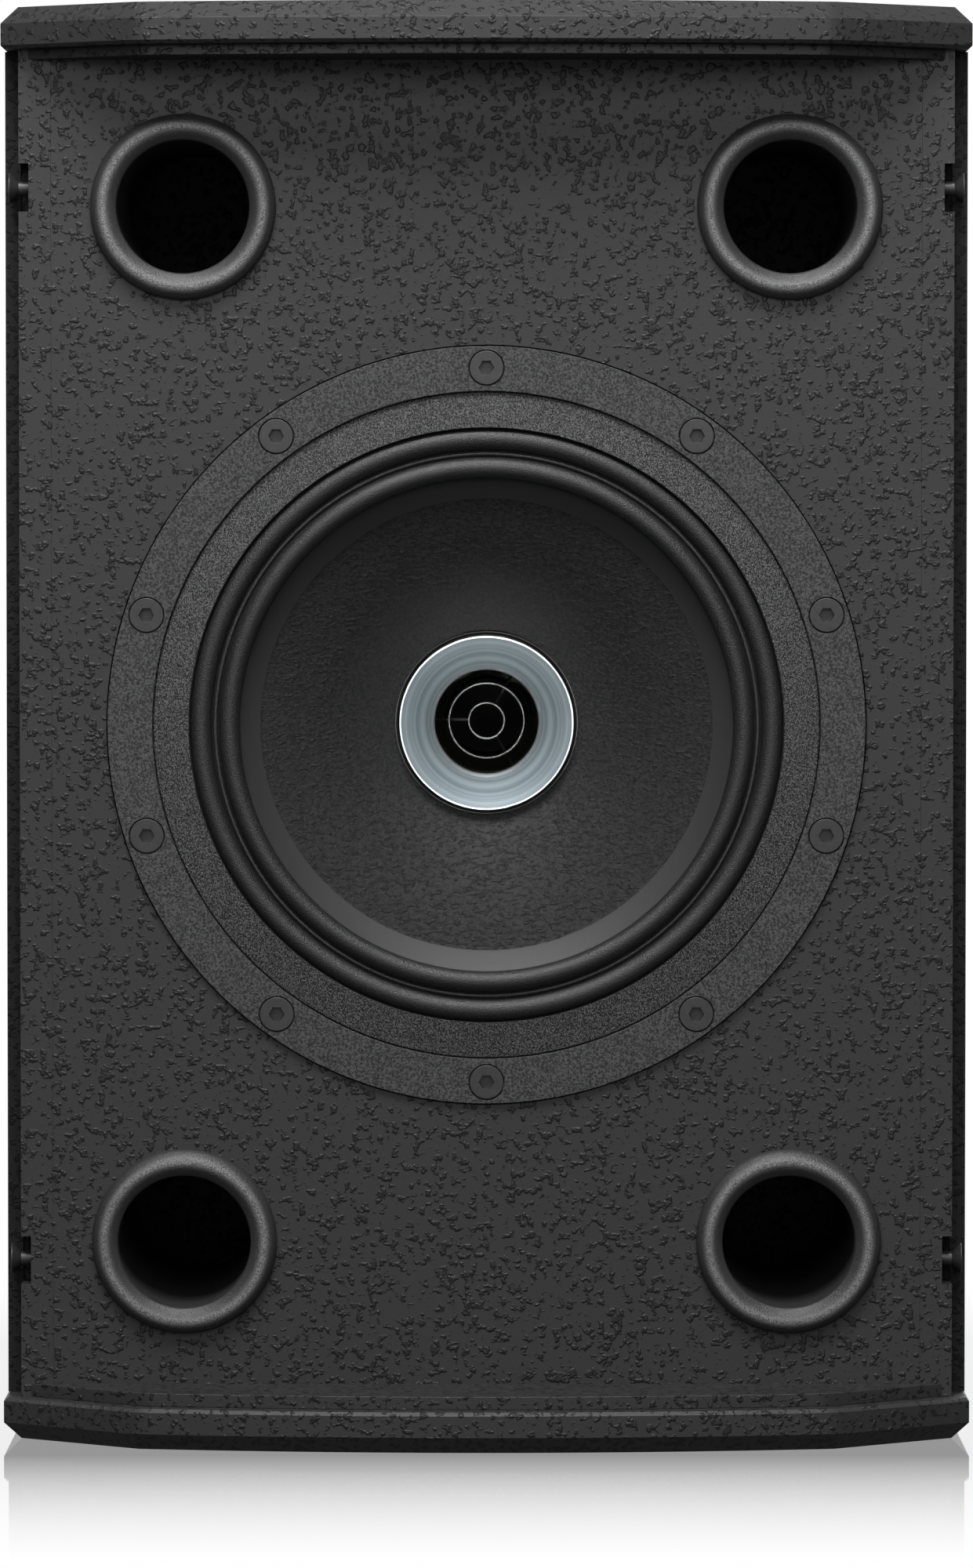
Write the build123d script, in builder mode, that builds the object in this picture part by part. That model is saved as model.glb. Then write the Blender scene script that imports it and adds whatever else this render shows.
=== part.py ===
from build123d import *
import os
from math import asin, cos, radians, sin, tan

# Two-way coaxial loudspeaker cabinet for sound reinforcement, grille taken off.
# Millimetres. The origin is the centre of the footprint, on the ground.
# +X is to the right seen from the front, +Y runs towards the rear, +Z is up.

os.makedirs("parts", exist_ok=True)

# ---- driving dimensions: cabinet -------------------------------------------------
cabinet_width = 275.0
cabinet_height = 407.0
cabinet_depth = 250.0

cap_thick = 12.0  # top and bottom boards
cap_chamfer = 4.85  # bevel round the outer face of a cap
cap_overhang = 1.0  # a cap stands this far outside the side panels
bow_half_width = 100.0  # half width of the bowed middle of a cap's front edge
bow_rise = 8.4
corner_set_back = 32.0  # cap front centre to the cap's front corners
baffle_set_back = 34.0  # cap front centre to the front of the baffle

wall_thick = 13.0
baffle_thick = 15.0
rear_thick = 12.0
rear_recess = 3.0  # rear panel in from the rear edges of the sides

rabbet_width = 3.6  # step along the front outer edges, for the grille's fold
rabbet_depth = 11.0
notch_depth = 2.2  # how much deeper the step is at a grille screw
notch_height = 13.3
grille_fixing_inset = 51.0  # grille screw to the end of the cabinet
grille_fixing_back = 5.5  # grille screw behind the baffle's front
rail_inset = 5.7  # grille rail behind the cap's edge
rail_height = 3.7

batten_size = 12.0
batten_end_gap = 0.5
brace_width = 50.0
brace_thick = 12.0
brace_gap = 5.5  # brace above the wall bracket's upper inserts
brace_slot_length = 150.0
brace_slot_width = 22.0

pad_thick = 12.0  # damping pads
pad_batten_gap = 5.5  # side pad to the corner battens
side_pad_end_room = 106.5  # side pad to the caps
top_pad_room = 24.0  # top pad to the boards round it
pad_hole_room = 2.0  # round the inserts' flanges

# ---- driving dimensions: ports ---------------------------------------------------
port_inset_x = 51.5  # middle of a port to the side of the cabinet
port_inset_z = 56.5  # middle of a port to the top or bottom
port_bore_radius = 19.0
port_wall = 2.0
port_length = 100.0
port_flange_radius = 26.3
port_crest_radius = 22.8
port_proud = 4.6
port_fit = 0.2  # round the tube in the baffle's hole

# ---- driving dimensions: coaxial driver ------------------------------------------
clamp_ring_radius = 107.65
clamp_ring_proud = 1.5
clamp_ring_thick = 3.5
clamp_ring_fit = 0.35
flange_thick = 4.0
gasket_outer_radius = 94.7
gasket_inner_radius = 84.2
gasket_sink = 0.5  # gasket face behind the clamp ring's face
ring_gap = 0.25  # open line between gasket and clamp ring

screw_circle_radius = 101.5
screw_count = 10
screw_head_radius = 4.95
screw_shank_radius = 2.5
screw_length = 20.0
screw_socket_size = 4.0  # across the flats of the hexagon
screw_socket_depth = 2.4
screw_fit = 0.25
tee_nut_flange_radius = 8.5
tee_nut_flange_thick = 1.2
tee_nut_barrel_radius = 3.7
tee_nut_barrel_length = 7.5

surround_thick = 0.8
surround_fit = 0.1  # between the outer roll and the gasket ring
surround_lip = 6.0
roll_width = 5.7
roll_height = 3.0
ridge_width = 2.6
ridge_height = 1.1

cone_thick = 0.9
cone_band_width = 6.4
cone_band_drop = 4.4
neck_depth = 25.0
neck_length = 2.0
cone_sag = 1.7
bond_gap = 0.3  # glue line between moving and fixed pieces

coil_radius = 25.45  # inner radius of the voice coil former
former_wall = 0.4
former_front_depth = 24.0
former_length = 34.0
winding_thick = 0.7
winding_length = 12.0
coil_clearance = 0.65

pole_clearance = 0.45
pole_front_depth = 47.0
frame_back_depth = 46.0
frame_base_thick = 4.0
frame_base_radius = 62.0
frame_wall = 4.0
frame_window_width = 50.0
frame_window_count = 6
frame_step = 1.2  # chassis cone inside the baffle's hole
frame_bore_radius = 85.0
spider_depth = 33.4
spider_ledge = 5.4
spider_thick = 0.5
spider_wave = 4.0
spider_wave_height = 0.9
spider_waves = 6

front_plate_radius = 60.0
front_plate_thick = 8.0
magnet_radius = 67.0
magnet_bore_radius = 31.0
magnet_thick = 18.0
magnet_chamfer = 1.0
back_plate_radius = 62.0
back_plate_thick = 8.0

waveguide_mouth_depth = 21.0
waveguide_rim = 0.5
waveguide_clearance = 0.45
waveguide_body_inset = 0.9
throat_radius = 15.3
throat_straight = 14.0
horn_entry_radius = 12.5

phase_ring_radii = (11.1, 5.4)
phase_ring_wall = 0.7
phase_ring_front_depth = 41.0
phase_ring_length = 19.0
phase_rib_thick = 0.9
phase_rib_length = 9.0

hf_plate_radius = 38.0
hf_plate_thick = 6.0
hf_pole_radius = 17.0
hf_plug_radius = 14.0
hf_magnet_radius = 36.0
hf_magnet_bore_radius = 20.0
hf_magnet_thick = 11.0
hf_gap = 0.85
hf_gap_plate_thick = 5.0
hf_coil_thick = 0.35
hf_coil_length = 6.0
hf_dome_rise = 5.0
hf_dome_thick = 0.4
hf_suspension_radius = 23.0
hf_suspension_thick = 0.4
hf_cover_depth = 16.0
hf_cover_wall = 3.0
hf_slot_width = 1.0
hf_plug_clearance = 0.8

# ---- driving dimensions: terminals, crossover, inputs ----------------------------
terminal_width = 18.0
terminal_depth = 8.0
terminal_block_thick = 5.0
tab_length = 7.0
tab_width = 3.0
tab_thick = 0.8

board_width = 150.0
board_height = 110.0
board_thick = 1.6
board_rise = 31.5  # middle of the board above the middle of the cabinet
standoff_length = 8.0
standoff_radius = 4.0
standoff_inset = 8.0
board_screw_radius = 1.5
board_screw_head_radius = 2.8
board_screw_head = 2.0
board_screw_length = 6.0
large_coil_radius = 19.0
large_coil_bore = 8.0
large_coil_height = 15.0
small_coil_radius = 14.0
small_coil_bore = 6.0
small_coil_height = 12.0
film_radius = 8.5
film_length = 34.0
can_radius = 8.0
can_height = 26.0
resistor_length = 48.0
resistor_size = 9.5

dish_width = 134.0
dish_height = 84.0
dish_flange = 9.0
dish_sheet = 1.6
dish_depth = 18.4
dish_middle_z = 78.0
dish_corner = 6.0
dish_screw_radius = 1.75
dish_screw_head_radius = 3.4
dish_screw_head = 1.9
dish_screw_length = 10.0

connector_spacing = 52.0
connector_flange_width = 26.0
connector_flange_height = 31.0
connector_flange_thick = 2.6
connector_flange_corner = 2.5
connector_body_radius = 12.4
connector_bore_radius = 11.5
connector_hub_radius = 6.4
connector_bore_depth = 17.0
connector_body_length = 22.0
connector_tab_length = 8.0
connector_tab_width = 4.0
connector_screw_spacing_x = 19.0
connector_screw_spacing_z = 24.0
connector_screw_radius = 1.4
connector_screw_head_radius = 2.6
connector_screw_head = 1.4
connector_screw_length = 6.0

# ---- driving dimensions: rigging -------------------------------------------------
side_insert_bore = 3.4  # M8 thread
side_insert_radius = 6.0
side_insert_flange_radius = 10.0
insert_flange_thick = 1.5
rigging_y = 12.0  # yoke and pole axis, near the centre of gravity
rear_insert_bore = 2.5  # M6 thread
rear_insert_radius = 4.5
rear_insert_flange_radius = 8.0
rear_pattern_x = 70.0
rear_pattern_z = 127.0
rear_pattern_rise = 31.5  # middle of the pattern above the middle of the cabinet
top_point_spacing = 120.0
blanking_head_radius = 5.5
blanking_head = 3.0
blanking_pocket_radius = 6.3
blanking_pocket_depth = 3.5

pole_bore_radius = 17.75
pole_socket_wall = 2.6
pole_socket_depth = 78.0
pole_socket_flange_radius = 38.0
pole_socket_flange_thick = 2.5
pole_socket_inset = 0.5
pole_screw_circle_radius = 30.0
pole_screw_count = 4
pole_screw_head_radius = 3.6
pole_screw_shank_radius = 1.8
pole_screw_length = 9.0

grille_screw_head_radius = 4.35
grille_screw_head = 2.75
grille_screw_shank_radius = 2.05
grille_screw_inset = 0.9  # head face in from the side of the cabinet
grille_screw_length = 11.0
grille_socket_size = 2.5
grille_socket_depth = 1.5
grille_insert_radius = 3.0
grille_insert_length = 6.0

wire_radius = 1.4
wire_step = 10.0  # room that one turn of a wire takes

# ---- places worked out from the driving dimensions --------------------------------
front_y = -cabinet_depth / 2
rear_y = cabinet_depth / 2
cap_half = cabinet_width / 2
bow_y = front_y + bow_rise
corner_y = front_y + corner_set_back
body_half = cap_half - cap_overhang
body_bottom = cap_thick
body_top = cabinet_height - cap_thick
body_height = body_top - body_bottom
middle_z = cabinet_height / 2
body_rear = rear_y - cap_overhang
baffle_y = front_y + baffle_set_back
baffle_back = baffle_y + baffle_thick
rear_face = body_rear - rear_recess
rear_inner = rear_face - rear_thick
inner_half = body_half - wall_thick

port_spacing_x = cabinet_width - 2 * port_inset_x
port_spacing_z = cabinet_height - 2 * port_inset_z
board_middle_z = middle_z + board_rise
rear_pattern_middle_z = middle_z + rear_pattern_rise
upper_insert_z = rear_pattern_middle_z + rear_pattern_z / 2
brace_height = upper_insert_z + rear_insert_flange_radius + brace_gap + brace_thick / 2
inside_length = rear_inner - baffle_back
inside_middle_y = (rear_inner + baffle_back) / 2

ring_face_y = baffle_y - clamp_ring_proud
rebate_depth = clamp_ring_thick - clamp_ring_proud + flange_thick
flange_front_depth = clamp_ring_thick
screw_head_height = screw_head_radius - screw_shank_radius

# The driver's axis runs along Y at half height. On this plane local x is the radius
# and local y the depth behind the clamp ring's face.
driver_section = Plane(origin=(0, ring_face_y, middle_z))
driver_axis = Axis((0, 0, middle_z), (0, 1, 0))
# Face plane of the driver, looking out of the cabinet: local z points to the front.
driver_face = Plane(origin=(0, ring_face_y, middle_z), x_dir=(1, 0, 0), z_dir=(0, -1, 0))
baffle_face = Plane(origin=(0, baffle_y, middle_z), x_dir=(1, 0, 0), z_dir=(0, -1, 0))
rear_plane = Plane(origin=(0, rear_face, 0), x_dir=(-1, 0, 0), z_dir=(0, 1, 0))

grille_fixing_heights = (grille_fixing_inset, cabinet_height - grille_fixing_inset)
grille_fixing_y = baffle_y + grille_fixing_back
top_point_places = (-top_point_spacing / 2, top_point_spacing / 2)
top_points = [(x, rigging_y) for x in top_point_places]


# =================================== cabinet ========================================

# Plan outline of both caps: bowed front, two flat corner facets, square rear.
with BuildSketch() as cap_plan:
    with BuildLine():
        ThreePointArc((-bow_half_width, bow_y), (0, front_y), (bow_half_width, bow_y))
        Polyline(
            (bow_half_width, bow_y),
            (cap_half, corner_y),
            (cap_half, rear_y),
            (-cap_half, rear_y),
            (-cap_half, corner_y),
            (-bow_half_width, bow_y),
        )
    make_face()

# Top cap: board with a bevelled upper edge and two countersunk rigging points.
with BuildPart() as top_cap:
    with BuildSketch(Plane.XY.offset(body_top)):
        add(cap_plan.sketch)
    extrude(amount=cap_thick)
    chamfer(top_cap.faces().sort_by(Axis.Z)[-1].edges(), cap_chamfer)
    chamfer(top_cap.faces().sort_by(Axis.Z)[0].edges(), cap_overhang)
    with Locations(*[(x, rigging_y, cabinet_height) for x in top_point_places]):
        CounterBoreHole(rear_insert_radius, blanking_pocket_radius, blanking_pocket_depth)
top_cap.part.label = "top_cap"
export_step(top_cap.part, "parts/top_cap.step")

# Bottom cap: the same board turned over, rebated for the pole socket's flange.
with BuildPart() as bottom_cap:
    with BuildSketch(Plane.XY):
        add(cap_plan.sketch)
    extrude(amount=cap_thick)
    chamfer(bottom_cap.faces().sort_by(Axis.Z)[0].edges(), cap_chamfer)
    chamfer(bottom_cap.faces().sort_by(Axis.Z)[-1].edges(), cap_overhang)
    with BuildSketch(Plane.XY):
        with Locations((0, rigging_y)):
            Circle(pole_socket_flange_radius + port_fit)
    extrude(amount=pole_socket_inset + pole_socket_flange_thick, mode=Mode.SUBTRACT)
    with BuildSketch(Plane.XY):
        with Locations((0, rigging_y)):
            Circle(pole_bore_radius + pole_socket_wall + port_fit)
            with PolarLocations(pole_screw_circle_radius, pole_screw_count, start_angle=45):
                Circle(pole_screw_shank_radius)
    extrude(amount=cap_thick, mode=Mode.SUBTRACT)
bottom_cap.part.label = "bottom_cap"
export_step(bottom_cap.part, "parts/bottom_cap.step")

# Right side panel: stepped along its front outer edge for the folded edge of a
# grille, with a deeper notch at each grille screw and one yoke insert.
with BuildPart(Plane.XY.offset(body_bottom)) as right_side_panel:
    with BuildSketch(Plane.XY.offset(body_bottom)):
        with Locations((inner_half, baffle_y)):
            Rectangle(wall_thick, body_rear - baffle_y, align=(Align.MIN, Align.MIN))
    extrude(amount=body_height)
    with BuildSketch(Plane.XY.offset(body_bottom)):
        with Locations((body_half, baffle_y)):
            Rectangle(rabbet_width, rabbet_depth, align=(Align.MAX, Align.MIN))
    extrude(amount=body_height, mode=Mode.SUBTRACT)
    for height in grille_fixing_heights:
        with Locations((body_half, baffle_y, height - body_bottom)):
            Box(
                rabbet_width + notch_depth,
                rabbet_depth,
                notch_height,
                align=(Align.MAX, Align.MIN, Align.CENTER),
                mode=Mode.SUBTRACT,
            )
        with Locations((inner_half, grille_fixing_y, height - body_bottom)):
            Cylinder(
                grille_insert_radius,
                wall_thick,
                rotation=(0, 90, 0),
                align=(Align.CENTER, Align.CENTER, Align.MIN),
                mode=Mode.SUBTRACT,
            )
    with Locations((inner_half, rigging_y, middle_z - body_bottom)):
        Cylinder(
            side_insert_radius,
            wall_thick,
            rotation=(0, 90, 0),
            align=(Align.CENTER, Align.CENTER, Align.MIN),
            mode=Mode.SUBTRACT,
        )
right_side_panel.part.label = "right_side_panel"
export_step(right_side_panel.part, "parts/right_side_panel.step")

# Left side panel: mirror image of the right one.
with BuildPart() as left_side_panel:
    mirror(right_side_panel.part, about=Plane.YZ)
left_side_panel.part.label = "left_side_panel"
export_step(left_side_panel.part, "parts/left_side_panel.step")

# Baffle: front board with the driver's rebated hole, four port holes and the holes
# for the tee nuts behind the driver's screws.
with BuildPart() as baffle:
    with BuildSketch(baffle_face):
        Rectangle(2 * inner_half, body_height)
    extrude(amount=-baffle_thick)
    with BuildSketch(baffle_face):
        Circle(clamp_ring_radius + clamp_ring_fit)
    extrude(amount=-rebate_depth, mode=Mode.SUBTRACT)
    with BuildSketch(baffle_face):
        Circle(gasket_outer_radius)
        with GridLocations(port_spacing_x, port_spacing_z, 2, 2):
            Circle(port_bore_radius + port_wall + port_fit)
        with PolarLocations(screw_circle_radius, screw_count, start_angle=90):
            Circle(tee_nut_barrel_radius)
    extrude(amount=-baffle_thick, mode=Mode.SUBTRACT)
baffle.part.label = "baffle"
export_step(baffle.part, "parts/baffle.step")

# Rear panel: recessed between the sides, cut out for the input dish and drilled for
# the wall bracket's threaded inserts.
with BuildPart() as rear_panel:
    with BuildSketch(rear_plane):
        with Locations((0, middle_z)):
            Rectangle(2 * inner_half, body_height)
        with Locations((0, dish_middle_z)):
            RectangleRounded(
                dish_width - 2 * dish_flange,
                dish_height - 2 * dish_flange,
                dish_corner,
                mode=Mode.SUBTRACT,
            )
        with Locations((0, rear_pattern_middle_z)):
            with GridLocations(rear_pattern_x, rear_pattern_z, 2, 2):
                Circle(rear_insert_radius, mode=Mode.SUBTRACT)
        with Locations((0, dish_middle_z)):
            with GridLocations(dish_width - dish_flange, dish_height - dish_flange, 2, 2):
                Circle(dish_screw_radius, mode=Mode.SUBTRACT)
    extrude(amount=-rear_thick)
rear_panel.part.label = "rear_panel"
export_step(rear_panel.part, "parts/rear_panel.step")

# Outline of the grille rails: the cap's front edge moved in, closed by the baffle.
with BuildSketch() as rail_plan:
    add(cap_plan.sketch)
    offset(amount=-rail_inset, kind=Kind.INTERSECTION, mode=Mode.REPLACE)
    with Locations((0, baffle_y)):
        Rectangle(
            cabinet_width,
            baffle_set_back,
            align=(Align.CENTER, Align.MAX),
            mode=Mode.INTERSECT,
        )

with BuildPart() as upper_grille_rail:
    with BuildSketch(Plane.XY.offset(body_top - rail_height)):
        add(rail_plan.sketch)
    extrude(amount=rail_height)
upper_grille_rail.part.label = "upper_grille_rail"
export_step(upper_grille_rail.part, "parts/upper_grille_rail.step")

with BuildPart() as lower_grille_rail:
    with BuildSketch(Plane.XY.offset(body_bottom)):
        add(rail_plan.sketch)
    extrude(amount=rail_height)
lower_grille_rail.part.label = "lower_grille_rail"
export_step(lower_grille_rail.part, "parts/lower_grille_rail.step")

# Battens glued into the four upright corners, behind the baffle and before the rear
# panel. Where a cabinet is so narrow that they meet the tee nuts, they are relieved.
screw_end = screw_length - clamp_ring_proud - baffle_thick
with BuildPart() as corner_battens:
    with BuildSketch(Plane.XY.offset(body_bottom + batten_end_gap)):
        with Locations((inner_half, baffle_back)):
            Rectangle(batten_size, batten_size, align=(Align.MAX, Align.MIN))
        with Locations((inner_half, rear_inner)):
            Rectangle(batten_size, batten_size, align=(Align.MAX, Align.MAX))
        mirror(about=Plane.YZ)
    extrude(amount=body_height - 2 * batten_end_gap)
    with BuildSketch(baffle_face.offset(-baffle_thick)):
        with PolarLocations(screw_circle_radius, screw_count, start_angle=90):
            Circle(tee_nut_flange_radius + batten_end_gap)
    extrude(amount=-screw_end - batten_end_gap, mode=Mode.SUBTRACT)
corner_battens.part.label = "corner_battens"
export_step(corner_battens.part, "parts/corner_battens.step")

# Slotted shelf brace between the side panels, notched round the rear battens.
with BuildPart() as internal_brace:
    with BuildSketch(Plane.XY.offset(brace_height - brace_thick / 2)):
        with Locations((0, rear_inner)):
            Rectangle(2 * inner_half, brace_width, align=(Align.CENTER, Align.MAX))
        with Locations((0, rear_inner - brace_width / 2)):
            SlotOverall(brace_slot_length, brace_slot_width, mode=Mode.SUBTRACT)
        for side in (-1, 1):
            with Locations((side * (inner_half - batten_size / 2), rear_inner)):
                Rectangle(
                    batten_size,
                    batten_size,
                    align=(Align.CENTER, Align.MAX),
                    mode=Mode.SUBTRACT,
                )
    extrude(amount=brace_thick)
internal_brace.part.label = "internal_brace"
export_step(internal_brace.part, "parts/internal_brace.step")

# Damping pads of felt glued inside: one under the top cap, one on each side.
insert_room = side_insert_flange_radius + pad_hole_room
side_pad_length = inside_length - 2 * (batten_size + pad_batten_gap)
side_pad_height = body_height - 2 * side_pad_end_room
with BuildPart() as top_damping_pad:
    with BuildSketch(Plane.XY.offset(body_top - pad_thick)):
        with Locations((0, inside_middle_y)):
            Rectangle(2 * (inner_half - top_pad_room), inside_length - 2 * top_pad_room)
        with Locations(*top_points):
            Circle(rear_insert_flange_radius + pad_hole_room, mode=Mode.SUBTRACT)
    extrude(amount=pad_thick)
top_damping_pad.part.label = "top_damping_pad"
export_step(top_damping_pad.part, "parts/top_damping_pad.step")

with BuildPart() as side_damping_pads:
    with BuildSketch(Plane.YZ.offset(inner_half - pad_thick)):
        with Locations((inside_middle_y, middle_z)):
            Rectangle(side_pad_length, side_pad_height)
        with Locations((rigging_y, middle_z)):
            Circle(insert_room, mode=Mode.SUBTRACT)
    extrude(amount=pad_thick)
    mirror(about=Plane.YZ)
side_damping_pads.part.label = "side_damping_pads"
export_step(side_damping_pads.part, "parts/side_damping_pads.step")


# ==================================== ports =========================================

# A port is a moulded tube: its rounded flange stands on the baffle's face, and its
# throat curves in to the bore.
port_names = {
    "upper_left_port": (-1, 1),
    "upper_right_port": (1, 1),
    "lower_left_port": (-1, -1),
    "lower_right_port": (1, -1),
}
port_outer_radius = port_bore_radius + port_wall
for port_name, (side_x, side_z) in port_names.items():
    port_x = side_x * port_spacing_x / 2
    port_z = middle_z + side_z * port_spacing_z / 2
    with BuildPart() as port:
        with BuildSketch(Plane(origin=(port_x, baffle_y, port_z))):
            with BuildLine():
                Polyline(
                    (port_flange_radius, 0),
                    (port_outer_radius, 0),
                    (port_outer_radius, port_length),
                    (port_bore_radius, port_length),
                    (port_bore_radius, port_proud),
                )
                Spline(
                    (port_bore_radius, port_proud),
                    (port_crest_radius, -port_proud),
                    (port_flange_radius, 0),
                    tangents=[(0, -1), (1, 0), (0, 1)],
                )
            make_face()
        revolve(axis=Axis((port_x, 0, port_z), (0, 1, 0)))
    port.part.label = port_name
    export_step(port.part, "parts/" + port_name + ".step")


# =============================== coaxial driver ======================================

# Clamp ring: steel ring over the chassis flange, with ten countersunk holes.
with BuildPart(driver_face) as driver_clamp_ring:
    with BuildSketch(driver_face):
        Circle(clamp_ring_radius)
        Circle(gasket_outer_radius + ring_gap, mode=Mode.SUBTRACT)
    extrude(amount=-clamp_ring_thick)
    with PolarLocations(screw_circle_radius, screw_count, start_angle=90):
        CounterSinkHole(
            screw_shank_radius + screw_fit,
            screw_head_radius + screw_fit / 2,
            counter_sink_angle=90,
        )
driver_clamp_ring.part.label = "driver_clamp_ring"
export_step(driver_clamp_ring.part, "parts/driver_clamp_ring.step")

# Ten M5 countersunk socket screws hold ring and chassis to the baffle.
with BuildPart(driver_face) as driver_screws:
    with PolarLocations(screw_circle_radius, screw_count, start_angle=90):
        Cylinder(
            screw_shank_radius,
            screw_length,
            align=(Align.CENTER, Align.CENTER, Align.MAX),
        )
        with Locations((0, 0, -screw_head_height)):
            Cone(
                screw_shank_radius,
                screw_head_radius,
                screw_head_height,
                align=(Align.CENTER, Align.CENTER, Align.MIN),
            )
    with BuildSketch(driver_face):
        with PolarLocations(screw_circle_radius, screw_count, start_angle=90):
            RegularPolygon(screw_socket_size / 2, 6, major_radius=False)
    extrude(amount=-screw_socket_depth, mode=Mode.SUBTRACT)
driver_screws.part.label = "driver_screws"
export_step(driver_screws.part, "parts/driver_screws.step")

# Ten tee nuts pressed into the back of the baffle take the screws.
with BuildPart(Plane(origin=(0, baffle_back, middle_z), x_dir=(1, 0, 0), z_dir=(0, -1, 0))) as tee_nuts:
    with PolarLocations(screw_circle_radius, screw_count, start_angle=90):
        Cylinder(
            tee_nut_flange_radius,
            tee_nut_flange_thick,
            align=(Align.CENTER, Align.CENTER, Align.MAX),
        )
        Cylinder(
            tee_nut_barrel_radius,
            tee_nut_barrel_length,
            align=(Align.CENTER, Align.CENTER, Align.MIN),
        )
    with BuildSketch(Plane.XZ.offset(-baffle_back - tee_nut_flange_thick)):
        with Locations((0, middle_z)):
            with PolarLocations(screw_circle_radius, screw_count, start_angle=90):
                Circle(screw_shank_radius)
    extrude(amount=baffle_thick, mode=Mode.SUBTRACT)
tee_nuts.part.label = "driver_tee_nuts"
export_step(tee_nuts.part, "parts/driver_tee_nuts.step")

# Chassis: die-cast frame with a flange, six windows, a ledge for the spider and a
# base ring that carries the motor.
base_front_depth = frame_back_depth - frame_base_thick
ledge_outer = frame_base_radius - frame_wall
ledge_inner = ledge_outer - spider_ledge
flange_back_depth = flange_front_depth + flange_thick
frame_outer_top = gasket_outer_radius - frame_step
with BuildPart() as driver_chassis:
    with BuildSketch(driver_section):
        with BuildLine():
            Polyline(
                (frame_bore_radius, flange_front_depth),
                (clamp_ring_radius, flange_front_depth),
                (clamp_ring_radius, flange_back_depth),
                (frame_outer_top, flange_back_depth),
                (frame_base_radius, spider_depth),
                (frame_base_radius, frame_back_depth),
                (coil_radius + frame_wall, frame_back_depth),
                (coil_radius + frame_wall, base_front_depth),
                (ledge_inner, base_front_depth),
                (ledge_inner, spider_depth),
                (ledge_outer, spider_depth),
                (ledge_outer, spider_depth - frame_wall),
                (frame_bore_radius, flange_back_depth + frame_wall / 2),
                close=True,
            )
        make_face()
    revolve(axis=driver_axis)
    window_length = frame_outer_top - ledge_inner
    window_drop = spider_depth - flange_back_depth - 2.5 * frame_wall
    with Locations(driver_face.offset(-flange_back_depth - frame_wall)):
        with PolarLocations(ledge_inner + window_length / 2, frame_window_count):
            Box(
                window_length,
                frame_window_width,
                window_drop,
                align=(Align.CENTER, Align.CENTER, Align.MAX),
                mode=Mode.SUBTRACT,
            )
    with Locations(driver_face):
        with PolarLocations(screw_circle_radius, screw_count, start_angle=90):
            Hole(screw_shank_radius + screw_fit)
driver_chassis.part.label = "driver_chassis"
export_step(driver_chassis.part, "parts/driver_chassis.step")

# Gasket ring that clamps the surround's lip to the chassis.
lip_front_depth = flange_front_depth - surround_thick
with BuildPart() as gasket_ring:
    with BuildSketch(driver_face.offset(-gasket_sink)):
        Circle(gasket_outer_radius)
        Circle(gasket_inner_radius, mode=Mode.SUBTRACT)
    extrude(amount=gasket_sink - lip_front_depth)
gasket_ring.part.label = "gasket_ring"
export_step(gasket_ring.part, "parts/gasket_ring.step")

# Surround: treated cloth pressed into two rolls with a small ridge between them. Its
# lip lies under the gasket ring and its inner foot over the cone's rim.
outer_roll_outer = gasket_inner_radius - surround_fit
outer_roll_inner = outer_roll_outer - roll_width
inner_roll_outer = outer_roll_inner - ridge_width
inner_roll_inner = inner_roll_outer - roll_width
valley_depth = lip_front_depth
with BuildPart() as surround:
    with BuildSketch(driver_section):
        with BuildLine():
            ThreePointArc(
                (outer_roll_outer, valley_depth),
                ((outer_roll_outer + outer_roll_inner) / 2, valley_depth - roll_height),
                (outer_roll_inner, valley_depth),
            )
            ThreePointArc(
                (outer_roll_inner, valley_depth),
                ((outer_roll_inner + inner_roll_outer) / 2, valley_depth - ridge_height),
                (inner_roll_outer, valley_depth),
            )
            ThreePointArc(
                (inner_roll_outer, valley_depth),
                ((inner_roll_outer + inner_roll_inner) / 2, valley_depth - roll_height),
                (inner_roll_inner, valley_depth),
            )
            Line((inner_roll_inner, valley_depth), (inner_roll_inner, flange_front_depth))
            Line(
                (inner_roll_inner, flange_front_depth),
                (inner_roll_inner + surround_thick, flange_front_depth),
            )
            ThreePointArc(
                (inner_roll_inner + surround_thick, flange_front_depth),
                (
                    (inner_roll_outer + inner_roll_inner) / 2,
                    flange_front_depth - roll_height,
                ),
                (inner_roll_outer - surround_thick, flange_front_depth),
            )
            Line(
                (inner_roll_outer - surround_thick, flange_front_depth),
                (outer_roll_inner + surround_thick, flange_front_depth),
            )
            ThreePointArc(
                (outer_roll_inner + surround_thick, flange_front_depth),
                (
                    (outer_roll_outer + outer_roll_inner) / 2,
                    flange_front_depth - roll_height,
                ),
                (outer_roll_outer - surround_thick, flange_front_depth),
            )
            Polyline(
                (outer_roll_outer - surround_thick, flange_front_depth),
                (outer_roll_outer + surround_lip, flange_front_depth),
                (outer_roll_outer + surround_lip, lip_front_depth),
                (outer_roll_outer, valley_depth),
            )
        make_face()
    revolve(axis=driver_axis)
surround.part.label = "surround"
export_step(surround.part, "parts/surround.step")

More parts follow.
